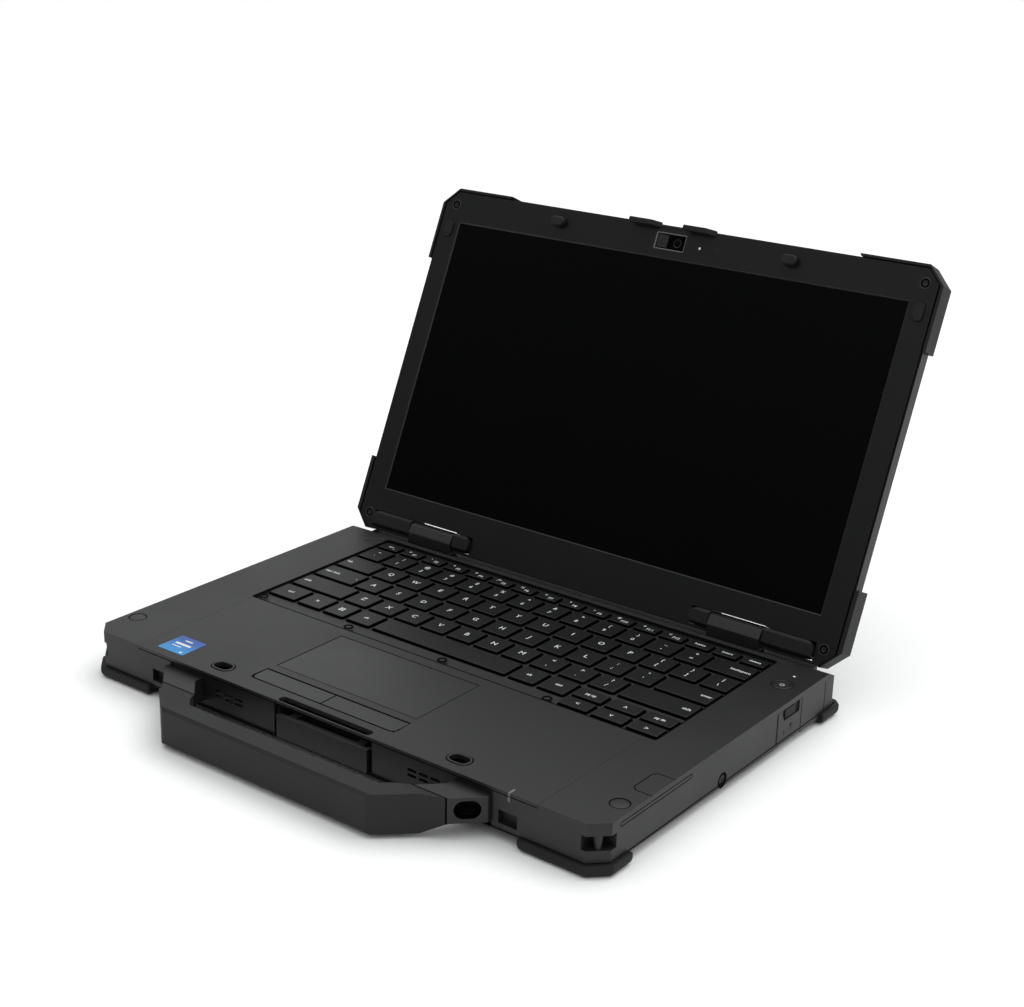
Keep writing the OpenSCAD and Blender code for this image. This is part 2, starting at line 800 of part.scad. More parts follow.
module heat_sink() {
    x = fan_at[0];
    y = fan_at[1] + 31;
    color("peru") at_base() {
        block([x - 27, y, floor_top + 1.4], [x + 27, y + 12, floor_top + 2]);
        for (i = [0 : 17]) block([x - 26.5 + 3.1 * i, y, floor_top + 1.9],
            [x - 26.1 + 3.1 * i, y + 12, floor_top + 7.4]);
        block([x - 27, y, floor_top + 7.3], [x + 27, y + 12, floor_top + 7.8]);
        block([-60, y + 2, floor_top + 7.8], [x + 27, y + 9, floor_top + 10]);
        block([-58, 152, floor_top + 7.8], [-50, y + 9, floor_top + 10]);
        block([-60, 150, board_z + board_t + 1.5], [-32, 178, floor_top + 7.8]);
    }
}

module storage_drive() {
    color("seagreen") at_base() {
        block([0, 110, board_z + board_t + 1.6], [80, 132, board_z + board_t + 2.4]);
        block([0, 110, board_z + board_t], [6, 132, board_z + board_t + 1.6]);
        for (i = [0 : 2]) block([12 + 22 * i, 112, board_z + board_t + 2.4],
            [30 + 22 * i, 130, board_z + board_t + 3.6]);
    }
}

module memory_modules() {
    color("seagreen") at_base() for (n = [0, 1]) translate([0, 34 * n, 0]) {
        block([-145, 104, board_z + board_t], [-75, 108, board_z + board_t + 4]);
        block([-145, 108, board_z + board_t + 2], [-75, 134, board_z + board_t + 3]);
        for (i = [0 : 3]) block([-142 + 17 * i, 112, board_z + board_t + 3],
            [-130 + 17 * i, 126, board_z + board_t + 4]);
    }
}

module speakers() {
    color(dark_color) at_base() both_sides() difference() {
        block([107, wall + 0.6, floor_top], [128, 22, 18]);
        translate([0, 0, -0.2]) block([111, wall, floor_top + 1.5], [124, wall + 1.6, 17]);
    }
}

// ---------- hinge ----------

module hinge_tower() {
    y = hinge_y;
    z = hinge_z;
    color(shell_color) at_base() difference() {
        along_x(tower_in, tower_out) polygon([[y - 6.2, step_z], [y - 6.2, z + 2.4],
            [y - 2.8, z + 5.8], [y + 2.5, z + 5.8], [y + 5.2, z + 3], [y + 5.2, z - 1.5],
            [y + 1.5, step_z]]);
        rod_x(pin_r + run, tower_in - 1, tower_out + 1, y, z);
    }
}
module hinge_tower_right() { hinge_tower(); }
module hinge_tower_left() { mirror([1, 0, 0]) hinge_tower(); }

module hinge_pins() {
    color(metal_color) at_lid() both_sides()
        rod_x(pin_r, tower_in - 10, tower_out + 12, hinge_v, hinge_off);
}

cover_low = -24.6;
cover_high = -14.5;

module hinge_cover_bar(x0, x1) {
    along_x(x0, x1) polygon([[cover_low, -7], [cover_high, -7], [cover_high, 1.2],
        [cover_high - 1.4, 2.6], [cover_low + 2, 2.6], [cover_low, 0.8]]);
}

module hinge_cover() {
    r = (cover_high - cover_low) / 2;
    mid = (cover_high + cover_low) / 2;
    color(dark_color) at_lid() difference() {
        union() {
            intersection() {
                hinge_cover_bar(cover_in, tower_in - 0.7);
                translate([0, 0, -8]) linear_extrude(12) union() {
                    translate([cover_in + r, mid]) circle(r = r);
                    translate([cover_in + r, cover_low]) square([20, 2 * r]);
                }
            }
            intersection() {
                hinge_cover_bar(tower_out + 0.7, cover_out);
                translate([0, 0, -8]) linear_extrude(12) union() {
                    translate([cover_out - r, mid]) circle(r = r);
                    translate([tower_out, cover_low]) square([cover_out - r - tower_out, 2 * r]);
                }
            }
        }
        rod_x(pin_r, tower_in - 10, tower_out + 12, hinge_v, hinge_off);
    }
}
module hinge_cover_right() { hinge_cover(); }
module hinge_cover_left() { mirror([1, 0, 0]) hinge_cover(); }

// ---------- lid ----------

// Room for the hinge towers and the hinge covers, cut from the lid's shells
module hinge_room() {
    both_sides() {
        block([tower_in - 0.6, lid_low - 1, -lid_t - 1], [tower_out + 0.6, -13.8, 5]);
        block([cover_in - 0.2, cover_low - gap, -7 - gap],
            [cover_out + 0.2, cover_high + gap, 5]);
    }
}

camera_x = 10;
camera_v = [180.3, 189.8];
camera_floor = -2.3;
lens_at = [4, 185];
lid_screws_at = [[161.2, 186], [162, -17]];

module lid_cover() {
    color(shell_color) at_lid() difference() {
        union() {
            translate([0, 0, -lid_t + rim_step]) linear_extrude(lid_t - rim_step - bezel_t)
                polygon(cut_plan(lid_w, lid_low, lid_high, lid_cut));
            translate([0, 0, -lid_t]) linear_extrude(rim_step)
                polygon(cut_plan(lid_w - 13, lid_low + 6.5, lid_high - 6.5, lid_cut));
        }
        // lower back edge, cut off so that it clears the base as the lid opens
        along_x(-lid_w / 2 + 8, lid_w / 2 - 8) polygon([[lid_low - 1, -4], [lid_low, -4],
            [lid_low + 4.3, -9.8], [lid_low + 4.3, -lid_t - 1], [lid_low - 1, -lid_t - 1]]);
        // hollow for the display and the cables
        block([-lid_w / 2 + 12, -10, -lid_t + 2.2], [lid_w / 2 - 12, lid_high - 4, 1]);
        hinge_room();
        both_sides() for (p = lid_screws_at) translate([p[0], p[1], -7]) cylinder(r = 1.1, h = 9);
    }
}

module lid_bezel() {
    color(shell_color) at_lid() difference() {
        translate([0, 0, -bezel_t]) linear_extrude(bezel_t)
            polygon(cut_plan(lid_w - 2, bezel_low, bezel_high, lid_cut - 0.8));
        block([-display_w / 2, 0, -5], [display_w / 2, display_h, 5]);
        block([-camera_x, camera_v[0], -5], [camera_x, camera_v[1], 5]);
        hinge_room();
        both_sides() for (p = lid_screws_at) {
            translate([p[0], p[1], -1]) cylinder(r = 2.5, h = 2);
            translate([p[0], p[1], -3]) cylinder(r = 1.1, h = 4);
        }
    }
}

module display_panel() {
    color(dark_color) at_lid() difference() {
        block([-display_w / 2 - 2.5, -3, panel_back], [display_w / 2 + 2.5, display_h + 2.4, -bezel_t]);
        block([-display_w / 2, 0, glass_back], [display_w / 2, display_h, 0]);
        block([-display_w / 2 + 4, 4, panel_back - 1], [display_w / 2 - 4, display_h - 4,
            panel_back + 0.4]);
    }
}

module display_glass() {
    color([0.02, 0.02, 0.025]) at_lid()
        block([-display_w / 2 + gap, gap, glass_back], [display_w / 2 - gap, display_h - gap, -0.7]);
}

// A corner bumper: its leg along the lid's edge ends at x = end, its side leg at v = side_end
module bumper(width, end, side_end, sign) {
    low = bumper_low;
    high = bumper_high;
    difference() {
        intersection() {
            translate([0, 0, -lid_t]) linear_extrude(lid_t + 0.2)
                polygon(cut_plan(width, low, high, bumper_cut));
            translate([0, 0, -lid_t - 1]) linear_extrude(lid_t + 3)
                polygon(sign > 0
                    ? [[end, high + 1], [end + 6, high - 8], [150, side_end + 20],
                        [160, side_end], [width, side_end - 3], [width, high + 1]]
                    : [[end, low - 1], [end + 3, low + 8], [155, side_end - 8],
                        [160, side_end], [width, side_end + 3], [width, low - 1]]);
        }
        // the lid's full thickness inside, and its stepped back edge
        translate([0, 0, -lid_t + rim_step - gap]) linear_extrude(lid_t + 3)
            polygon(cut_plan(lid_w + 2 * gap, lid_low - gap, lid_high + gap, lid_cut));
        translate([0, 0, -lid_t - 1]) linear_extrude(lid_t + 3)
            polygon(cut_plan(lid_w - 13 + 2 * gap, lid_low + 6.5 - gap, lid_high - 6.5 + gap,
                lid_cut));
    }
}

module bumpers_top() {
    color(dark_color) at_lid() both_sides()
        bumper(top_bumper_w, 119, 150, 1);
}

module bumpers_bottom() {
    color(dark_color) at_lid() both_sides()
        bumper(bumper_w, 159, 18, -1);
}

module closing_pegs() {
    color(dark_color) at_lid() both_sides()
        translate([peg_x, peg_v, 0]) obround(9.6, 5.8, 4.2);
}

// Lid coordinate that meets base coordinate y when the lid is closed
function closed_v(y) = hinge_y + hinge_v - y;
peg_v = closed_v(peg_y);

// Hooks at the lid's top edge that the latch holds
module latch_hooks() {
    color(dark_color) at_lid() for (x = [-29.5, 8])
        translate([x, closed_v(1.15), 0]) rotate([90, 0, 0]) linear_extrude(3.2)
            polygon([[3, 0], [21.5, 0], [15.5, 4.6], [0, 4.6], [0.6, 3.2], [3, 2.4]]);
}

module camera_module() {
    color(dark_color) at_lid() difference() {
        union() {
            difference() {
                block([-camera_x - 2.5, camera_v[0] - 2, -5], [camera_x + 2.5, camera_v[1] + 0.8,
                    -bezel_t]);
                block([-camera_x, camera_v[0], camera_floor], [camera_x, camera_v[1], 0]);
            }
            translate([lens_at[0], lens_at[1], camera_floor]) cylinder(r = 3, h = 0.6);
        }
        translate([lens_at[0], lens_at[1], camera_floor - 0.6]) cylinder(r = 1.6, h = 2);
    }
}

module camera_shutter() {
    color(metal_color) at_lid() {
        block([-camera_x + 0.6, camera_v[0] + 1, -1.3], [-camera_x + 8, camera_v[1] - 1, -0.6]);
        block([-camera_x + 2, camera_v[0] + 2.5, -0.6], [-camera_x + 4, camera_v[1] - 2.5, -0.1]);
    }
}

module lid_screws() {
    color(metal_color) at_lid() both_sides() for (p = lid_screws_at)
        translate([p[0], p[1], 0]) difference() {
            union() {
                translate([0, 0, -1]) cylinder(r = 2.2, h = 0.9);
                translate([0, 0, -6.5]) cylinder(r = 1, h = 6);
            }
            translate([0, 0, -0.6]) cylinder(r = 0.9, h = 1, $fn = 6);
        }
}

chassis_frame();
bottom_cover();
palm_rest();
keyboard_deck();
switch_plate();
touchpad();
click_button_left();
click_button_right();
status_light();
power_button();
pen_bay_cover();
function_keys();
number_keys();
upper_letter_keys();
home_letter_keys();
lower_letter_keys();
modifier_keys();
space_bar();
arrow_keys();
handle_grip();
handle_mount_left();
handle_mount_right();
handle_screws();
latch_housing();
latch_flap();
latch_pin();
feet_front();
feet_rear();
rear_corner_left();
rear_corner_right();
side_door_left();
side_door_right();
port_connectors();
power_inlet();
mainboard();
battery();
fan_housing();
fan_rotor();
heat_sink();
storage_drive();
memory_modules();
speakers();
deck_screws();
bottom_screws();
hinge_tower_left();
hinge_tower_right();
hinge_pins();
hinge_cover_left();
hinge_cover_right();
lid_cover();
lid_bezel();
display_panel();
display_glass();
bumpers_top();
bumpers_bottom();
closing_pegs();
latch_hooks();
camera_module();
camera_shutter();
lid_screws();
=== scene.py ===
"""Looks of the rugged laptop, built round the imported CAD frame.

Places are given in millimetres in two drawings: the base's, from the middle, the palm rest's
front edge and the deck's top, and the lid's, across, up the display and out of the bezel.
"""
import json
import math

import bmesh
import bpy
from mathutils import Matrix, Vector


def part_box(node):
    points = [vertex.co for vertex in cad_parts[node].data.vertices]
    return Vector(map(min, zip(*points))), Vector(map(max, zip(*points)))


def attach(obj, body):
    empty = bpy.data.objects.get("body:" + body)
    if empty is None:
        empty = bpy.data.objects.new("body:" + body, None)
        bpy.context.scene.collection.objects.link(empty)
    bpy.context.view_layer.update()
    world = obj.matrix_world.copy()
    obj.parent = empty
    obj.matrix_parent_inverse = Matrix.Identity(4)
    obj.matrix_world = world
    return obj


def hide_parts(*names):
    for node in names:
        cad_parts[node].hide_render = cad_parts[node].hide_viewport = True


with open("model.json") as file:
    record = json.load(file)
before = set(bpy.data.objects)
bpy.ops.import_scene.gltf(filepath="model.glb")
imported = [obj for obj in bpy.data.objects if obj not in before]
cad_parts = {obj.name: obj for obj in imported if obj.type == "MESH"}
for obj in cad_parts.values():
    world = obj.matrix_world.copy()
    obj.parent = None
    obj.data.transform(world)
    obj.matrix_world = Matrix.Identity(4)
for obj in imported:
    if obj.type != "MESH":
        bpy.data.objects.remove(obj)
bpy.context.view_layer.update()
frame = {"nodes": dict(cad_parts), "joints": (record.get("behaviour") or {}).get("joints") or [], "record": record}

MM = 0.001
LEAN = math.radians(65.9)  # the open lid's angle above the table
DISPLAY_ABOVE_HINGE = 21.7
BEZEL_BEFORE_HINGE = 2.9
HALF_WIDTH = 170  # the base's, to its side walls
DEPTH = 220  # the base's
SEAM = -20.5  # where the bottom cover meets the frame

palm_low, palm_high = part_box("palm_rest")
hinge_at = Vector(next(j["pos_m"] for j in frame["joints"] if j["name"] == "lid_hinge"))
BASE = Matrix.Translation((0, palm_low.y, palm_high.z)) @ Matrix.Scale(MM, 4)
LID = (
    Matrix.Translation(hinge_at)
    @ Matrix.Rotation(LEAN, 4, "X")
    @ Matrix.Scale(MM, 4)
    @ Matrix.Translation((0, DISPLAY_ABOVE_HINGE, BEZEL_BEFORE_HINGE))
)
BODY_OF = {
    node: body
    for body, nodes in frame["record"]["behaviour"]["bodies"].items()
    for node in nodes
}
SLOT_OF = {part["node"]: part["material_slot"] for part in frame["record"]["subparts"]}
SIDES = (("right", 1), ("left", -1))
DOORS = (("right", 1, 157, 182), ("left", -1, 132, 182))  # side, sign, front end, rear end


# ---------- camera, lights and floor ----------

def add_camera():
    azimuth, elevation, roll = (math.radians(a) for a in (37.045, 19.892, 1.425))
    stands_at = (0.55502, -0.72070, 0.43156)
    data = bpy.data.cameras.new("camera")
    data.lens = 63.07
    data.clip_start = 0.05
    camera = bpy.data.objects.new("camera", data)
    bpy.context.scene.collection.objects.link(camera)
    back = Vector((math.sin(azimuth) * math.cos(elevation),
                   -math.cos(azimuth) * math.cos(elevation), math.sin(elevation)))
    level = back.to_track_quat("Z", "Y").to_matrix().to_4x4()
    camera.matrix_world = (Matrix.Translation(stands_at) @ level
                           @ Matrix.Rotation(roll, 4, "Z"))
    bpy.context.scene.camera = camera


def add_light(name, at, aim, size, power):
    data = bpy.data.lights.new(name, "AREA")
    data.shape = "RECTANGLE"
    data.size, data.size_y = size
    data.energy = power
    light = bpy.data.objects.new(name, data)
    bpy.context.scene.collection.objects.link(light)
    away = Vector(at) - Vector(aim)
    light.matrix_world = (Matrix.Translation(at)
                          @ away.to_track_quat("Z", "Y").to_matrix().to_4x4())


def ramp(tree, value, from_low, from_high, to_low, to_high):
    """The value, mapped smoothly from one range to another."""
    node = tree.nodes.new("ShaderNodeMapRange")
    node.interpolation_type = "SMOOTHSTEP"
    tree.links.new(value, node.inputs["Value"])
    for name, number in (("From Min", from_low), ("From Max", from_high),
                         ("To Min", to_low), ("To Max", to_high)):
        node.inputs[name].default_value = number
    return node.outputs["Result"]


def maths(tree, operation, a, b):
    """One operation on two values, each a number or a node output."""
    node = tree.nodes.new("ShaderNodeMath")
    node.operation = operation
    for socket, item in zip(node.inputs, (a, b)):
        if isinstance(item, (int, float)):
            socket.default_value = item
        else:
            tree.links.new(item, socket)
    return node.outputs[0]


def add_world():
    """A white tent: bright overhead and behind, dimmer in front of the display."""
    world = bpy.data.worlds.new("studio")
    world.use_nodes = True
    tree = world.node_tree
    way = tree.nodes.new("ShaderNodeTexCoord").outputs["Generated"]
    parts = tree.nodes.new("ShaderNodeSeparateXYZ")
    tree.links.new(way, parts.inputs[0])
    overhead = ramp(tree, parts.outputs["Z"], 0.1, 0.95, 0.1, 1.3)
    behind = ramp(tree, parts.outputs["Y"], -0.1, 0.8, 0.0, 0.45)
    right = ramp(tree, parts.outputs["X"], 0.1, 0.9, 0.0, 0.3)
    total = maths(tree, "ADD", maths(tree, "ADD", overhead, behind), right)
    seen = tree.nodes.new("ShaderNodeLightPath").outputs["Is Camera Ray"]
    background = tree.nodes["Background"]
    background.inputs["Color"].default_value = (0.985, 0.995, 1, 1)
    tree.links.new(maths(tree, "MAXIMUM", total, seen), background.inputs["Strength"])
    bpy.context.scene.world = world


def add_studio():
    add_world()
    add_light("top_softbox", (0.2, 0.5, 1.5), (0, 0, 0.05), (1.2, 0.9), 5)
    bpy.ops.mesh.primitive_plane_add(size=40, location=(0, 0, -0.0002))
    floor = bpy.context.object
    floor.name = "floor"
    floor.data.materials.append(floor_material())


# ---------- materials ----------

def node_material(name):
    material = bpy.data.materials.new(name)
    material.use_nodes = True
    tree = material.node_tree
    return material, tree, tree.nodes["Principled BSDF"]


def noise(tree, size_mm, detail=3):
    """A noise value from 0 to 1 whose lumps are about size_mm across."""
    coords = tree.nodes.new("ShaderNodeTexCoord").outputs["Object"]
    node = tree.nodes.new("ShaderNodeTexNoise")
    node.inputs["Scale"].default_value = 1 / (size_mm * MM)
    node.inputs["Detail"].default_value = detail
    tree.links.new(coords, node.inputs["Vector"])
    return node.outputs["Fac"]


def mixed_color(tree, factor, low, high):
    node = tree.nodes.new("ShaderNodeMix")
    node.data_type = "RGBA"
    tree.links.new(factor, node.inputs[0])
    for socket, color in ((node.inputs[6], low), (node.inputs[7], high)):
        if isinstance(color, tuple):
            socket.default_value = (*color, 1)
        else:
            tree.links.new(color, socket)
    return node.outputs[2]


def edge_mask(tree, bevel):
    """1 along the edges, where the softened normal leaves the face's own."""
    own = tree.nodes.new("ShaderNodeNewGeometry").outputs["Normal"]
    dot = tree.nodes.new("ShaderNodeVectorMath")
    dot.operation = "DOT_PRODUCT"
    tree.links.new(own, dot.inputs[0])
    tree.links.new(bevel, dot.inputs[1])
    return ramp(tree, dot.outputs["Value"], 0.995, 0.93, 0.0, 1.0)


def upward(tree):
    """1 on faces that look up, 0 on upright ones."""
    own = tree.nodes.new("ShaderNodeNewGeometry").outputs["Normal"]
    parts = tree.nodes.new("ShaderNodeSeparateXYZ")
    tree.links.new(own, parts.inputs[0])
    return ramp(tree, parts.outputs["Z"], 0.6, 0.86, 0.0, 1.0)


def grained(name, color, roughness, grain_mm=0.35, bump=0.12, spread=0.12, edge_mm=0.3,
            edge_highlight=2.0, specular=0.4, metallic=0.0, shade_painted_sides=False):
    """Moulded or painted surface: fine grain, smudges in the gloss, edges painted lighter as a highlight."""
    material, tree, shader = node_material(name)
    rounded = tree.nodes.new("ShaderNodeBevel")
    rounded.samples = 4
    rounded.inputs["Radius"].default_value = edge_mm * MM
    smudge = noise(tree, 38, 4)
    fleck = noise(tree, 1.6, 2)
    low = tuple(c * (1 - spread) for c in color)
    high = tuple(c * (1 + spread) for c in color)
    tinted = mixed_color(tree, fleck, low, high)
    # painted highlight: the rounded edges are lightened towards a brighter copy of the colour, standing for the
    # light they catch
    highlight_mask = maths(tree, "MULTIPLY", edge_mask(tree, rounded.outputs[0]), 0.8)
    bright = tuple(min(1.0, c * edge_highlight + 0.004 * (edge_highlight - 1)) for c in color)
    surface = mixed_color(tree, highlight_mask, tinted, bright)
    shader.inputs["Specular IOR Level"].default_value = specular
    # painted shade: faces that do not look up are painted near-black and lose their specular, standing for the
    # shade on the caps' sides
    if shade_painted_sides:
        unshaded_top = upward(tree)
        surface = mixed_color(tree, unshaded_top, (0.001, 0.001, 0.001), surface)
        tree.links.new(maths(tree, "MULTIPLY", unshaded_top, specular),
                       shader.inputs["Specular IOR Level"])
    tree.links.new(surface, shader.inputs["Base Color"])
    tree.links.new(ramp(tree, smudge, 0.3, 0.7, roughness - 0.025, roughness + 0.025),
                   shader.inputs["Roughness"])
    relief = tree.nodes.new("ShaderNodeBump")
    relief.inputs["Strength"].default_value = bump
    relief.inputs["Distance"].default_value = 0.1 * MM
    tree.links.new(noise(tree, grain_mm, 2), relief.inputs["Height"])
    tree.links.new(rounded.outputs[0], relief.inputs["Normal"])
    tree.links.new(relief.outputs[0], shader.inputs["Normal"])
    shader.inputs["Metallic"].default_value = metallic
    return material


def floor_material():
    material, tree, shader = node_material("floor_paper")
    paper = mixed_color(tree, noise(tree, 3, 3), (0.9, 0.9, 0.9), (0.93, 0.93, 0.93))
    tree.links.new(paper, shader.inputs["Base Color"])
    shader.inputs["Roughness"].default_value = 0.9
    shader.inputs["Specular IOR Level"].default_value = 0.1
    return material


def screen_material(name):
    """Near-black display with a faint anti-glare haze."""
    material, tree, shader = node_material(name)
    shader.inputs["Base Color"].default_value = (0.0008, 0.001, 0.0009, 1)
    shader.inputs["Specular IOR Level"].default_value = 0.04
    tree.links.new(ramp(tree, noise(tree, 60, 2), 0.3, 0.7, 0.16, 0.24),
                   shader.inputs["Roughness"])
    relief = tree.nodes.new("ShaderNodeBump")
    relief.inputs["Strength"].default_value = 0.03
    relief.inputs["Distance"].default_value = 0.02 * MM
    tree.links.new(noise(tree, 0.25, 1), relief.inputs["Height"])
    tree.links.new(relief.outputs[0], shader.inputs["Normal"])
    return material


def label_material(name):
    """Printed film: a deep blue that turns to a lighter blue towards the front."""
    material, tree, shader = node_material(name)
    coords = tree.nodes.new("ShaderNodeTexCoord").outputs["Object"]
    parts = tree.nodes.new("ShaderNodeSeparateXYZ")
    tree.links.new(coords, parts.inputs[0])
    front = palm_low.y + 8 * MM
    fade = ramp(tree, parts.outputs["Y"], front, front + 14 * MM, 0, 1)
    tree.links.new(mixed_color(tree, fade, (0.0, 0.2, 0.5), (0.0, 0.06, 0.3)),
                   shader.inputs["Base Color"])
    tree.links.new(ramp(tree, noise(tree, 4, 2), 0.3, 0.7, 0.25, 0.35),
                   shader.inputs["Roughness"])
    return material


def seam_and_shade_black_material():
    """Soft matt black: the darkness of a seam, and painted shade where it is laid in wells."""
    return grained("look_gap", (0.0008, 0.0008, 0.0008), 0.8, edge_highlight=1, specular=0.04)


def white_material(name):
    return grained(name, (0.62, 0.64, 0.66), 0.5, bump=0.05, spread=0.05, edge_mm=0.05, edge_highlight=1)


LOOKS = {
    "shell": lambda n: grained(n, (0.0085, 0.0087, 0.0086), 0.48, specular=0.4),
    "lid_shell": lambda n: grained(n, (0.0022, 0.0024, 0.0024), 0.4, specular=0.25),
    "touch": lambda n: grained(n, (0.0095, 0.0098, 0.0096), 0.42, grain_mm=0.25, bump=0.05,
                               edge_mm=0.2, specular=0.42),
    "keyboard_plastic": lambda n: grained(n, (0.0085, 0.0088, 0.0087), 0.5, edge_mm=0.15,
                                          specular=0.4),
    # painted highlight on the caps' top edges and painted shade on their sides
    "key_plastic": lambda n: grained(n, (0.0035, 0.0037, 0.0037), 0.45, grain_mm=0.22,
                                     bump=0.08, edge_highlight=3, specular=0.28, shade_painted_sides=True),
    "handle_rubber": lambda n: grained(n, (0.007, 0.0072, 0.007), 0.62, grain_mm=0.5,
                                       bump=0.2, specular=0.36),
    "foot_rubber": lambda n: grained(n, (0.006, 0.0062, 0.006), 0.68, grain_mm=0.6,
                                     bump=0.22, specular=0.3),
    "bumper_plastic": lambda n: grained(n, (0.0045, 0.0048, 0.0046), 0.55, specular=0.27),
    "display_glass": screen_material,
    "light_bar": white_material,
    "camera_plastic": lambda n: grained(n, (0.003, 0.003, 0.0034), 0.25, grain_mm=0.2,
                                        bump=0.03),
    "inner_plastic": lambda n: grained(n, (0.014, 0.014, 0.015), 0.6),
    "steel": lambda n: grained(n, (0.03, 0.03, 0.031), 0.38, grain_mm=0.3, bump=0.1, edge_highlight=4,
                               metallic=1.0),
    "plate": lambda n: grained(n, (0.42, 0.43, 0.44), 0.35, grain_mm=0.2, bump=0.08,
                               metallic=1.0),
    "copper": lambda n: grained(n, (0.6, 0.29, 0.16), 0.35, grain_mm=0.3, bump=0.08,
                                metallic=1.0),
    "circuit_board": lambda n: grained(n, (0.01, 0.07, 0.035), 0.45, grain_mm=0.4, bump=0.1),
}
made = {slot: look("look_" + slot) for slot, look in LOOKS.items()}
SEAM_AND_SHADE_BLACK = seam_and_shade_black_material()
# light grey of the status light; also a painted highlight on the camera's window frame
STATUS_GREY_AND_RIM_HIGHLIGHT = grained("look_status", (0.13, 0.135, 0.135), 0.5, edge_highlight=1)


def dress_cad_nodes():
    special = {"status_light": STATUS_GREY_AND_RIM_HIGHLIGHT, "handle_screws": SEAM_AND_SHADE_BLACK, "camera_module": SEAM_AND_SHADE_BLACK}
    for node, slot in SLOT_OF.items():
        materials = frame["nodes"][node].data.materials
        materials.clear()
        materials.append(special.get(node, made[slot]))


# ---------- building pieces ----------

def finish_piece(name, mesh, body, slot, material=None, replaced=(), sharp=32):
    """Adds a mesh as a piece that rides on a body and takes its finish from a slot."""
    piece = bpy.data.objects.new(name, mesh)
    bpy.context.scene.collection.objects.link(piece)
    mesh.materials.append(material or made[slot])
    for face in mesh.polygons:
        face.use_smooth = True
    mesh.set_sharp_from_angle(angle=math.radians(sharp))
    weighted = piece.modifiers.new("flat_faces", "WEIGHTED_NORMAL")
    weighted.keep_sharp = True
    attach(piece, body)
    if replaced:
        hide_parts(*replaced)
    return piece


def add_piece(name, bm, place, body, slot, **more):
    bm.transform(place)
    bmesh.ops.recalc_face_normals(bm, faces=bm.faces)
    mesh = bpy.data.meshes.new(name)
    bm.to_mesh(mesh)
    bm.free()
    return finish_piece(name, mesh, body, slot, **more)


def add_dark(name, bm, place, body="base"):
    """A piece in soft matt black: a dark seam, or painted shade in a well."""
    add_piece(name, bm, place, body, "foot_rubber", material=SEAM_AND_SHADE_BLACK)


def stand_for(node, bm, ending):
    """Adds the worked mesh of a CAD node in that node's stead."""
    return add_piece(node + ending, bm, Matrix.Identity(4), BODY_OF[node], SLOT_OF[node],
                     replaced=(node,))


def merged(node):
    """The CAD node's mesh with whole faces and shared corners, ready to be worked on."""
    bm = bmesh.new()
    bm.from_mesh(frame["nodes"][node].data)
    bmesh.ops.remove_doubles(bm, verts=bm.verts, dist=2e-6)
    bmesh.ops.dissolve_limit(bm, angle_limit=math.radians(0.8), verts=bm.verts, edges=bm.edges)
    return bm


def islands(node):
    """Box of every separate solid in a CAD node, in the base's drawing: (low, high)."""
    bm = merged(node)
    bm.transform(BASE.inverted())
    left, boxes = set(bm.verts), []
    while left:
        found, edge = set(), [left.pop()]
        while edge:
            vert = edge.pop()
            found.add(vert)
            near = {e.other_vert(vert) for e in vert.link_edges} & left
            left -= near
            edge.extend(near)
        boxes.append((Vector([min(v.co[i] for v in found) for i in range(3)]),
                      Vector([max(v.co[i] for v in found) for i in range(3)])))
    bm.free()
    return sorted(boxes, key=lambda b: tuple(round(c, 2) for c in b[0]))


def plan_box(node):
    """Plan corners (x0, y0, x1, y1) of a node in the base's drawing."""
    boxes = islands(node)
    return (min(b[0].x for b in boxes), min(b[0].y for b in boxes),
            max(b[1].x for b in boxes), max(b[1].y for b in boxes))


def round_edges(bm, edges, width, segments):
    bmesh.ops.bevel(bm, geom=edges, offset=width, offset_type="OFFSET", segments=segments,
                    profile=0.5, affect="EDGES", clamp_overlap=True)


def sharp_edges(bm, angle):
    return [e for e in bm.edges
            if len(e.link_faces) == 2 and e.calc_face_angle(0) > math.radians(angle)]


def softened(node, width_mm, segments=3, angle=26):
    """A copy of the CAD node with rounded edges, which stands for it."""
    bm = merged(node)
    round_edges(bm, sharp_edges(bm, angle), width_mm * MM, segments)
    return stand_for(node, bm, "_moulded")


def slab(bm, outline, low, high):
    """A closed plate with that plan outline."""
    bottom = [bm.verts.new((x, y, low)) for x, y in outline]
    top = [bm.verts.new((x, y, high)) for x, y in outline]
    count = len(outline)
    bm.faces.new(list(reversed(bottom)))
    bm.faces.new(top)
    for i in range(count):
        j = (i + 1) % count
        bm.faces.new((bottom[i], bottom[j], top[j], top[i]))


def rounded_rect(x0, y0, x1, y1, r, steps=6):
    points = []
    for cx, cy, start in ((x1 - r, y1 - r, 0), (x0 + r, y1 - r, 90), (x0 + r, y0 + r, 180),
                          (x1 - r, y0 + r, 270)):
        for i in range(steps + 1):
            a = math.radians(start + 90 * i / steps)
            points.append((cx + r * math.cos(a), cy + r * math.sin(a)))
    return points


def obround(length, width, steps=14):
    flat = (length - width) / 2
    r = width / 2
    points = []
    for cx, start in ((flat, -90), (-flat, 90)):
        for i in range(steps + 1):
            a = math.radians(start + 180 * i / steps)
            points.append((cx + r * math.cos(a), r * math.sin(a)))
    return points


def circle(r, steps=32):
    return [(r * math.cos(math.tau * i / steps), r * math.sin(math.tau * i / steps))
            for i in range(steps)]


def plate(outline, low, high, rim=0.0, segments=2):
    """A plate whose upper rim is rounded."""
    bm = bmesh.new()
    slab(bm, outline, low, high)
    if rim:
        edges = [e for e in bm.edges if all(abs(v.co.z - high) < 1e-6 for v in e.verts)]
        round_edges(bm, edges, rim, segments)
    return bm


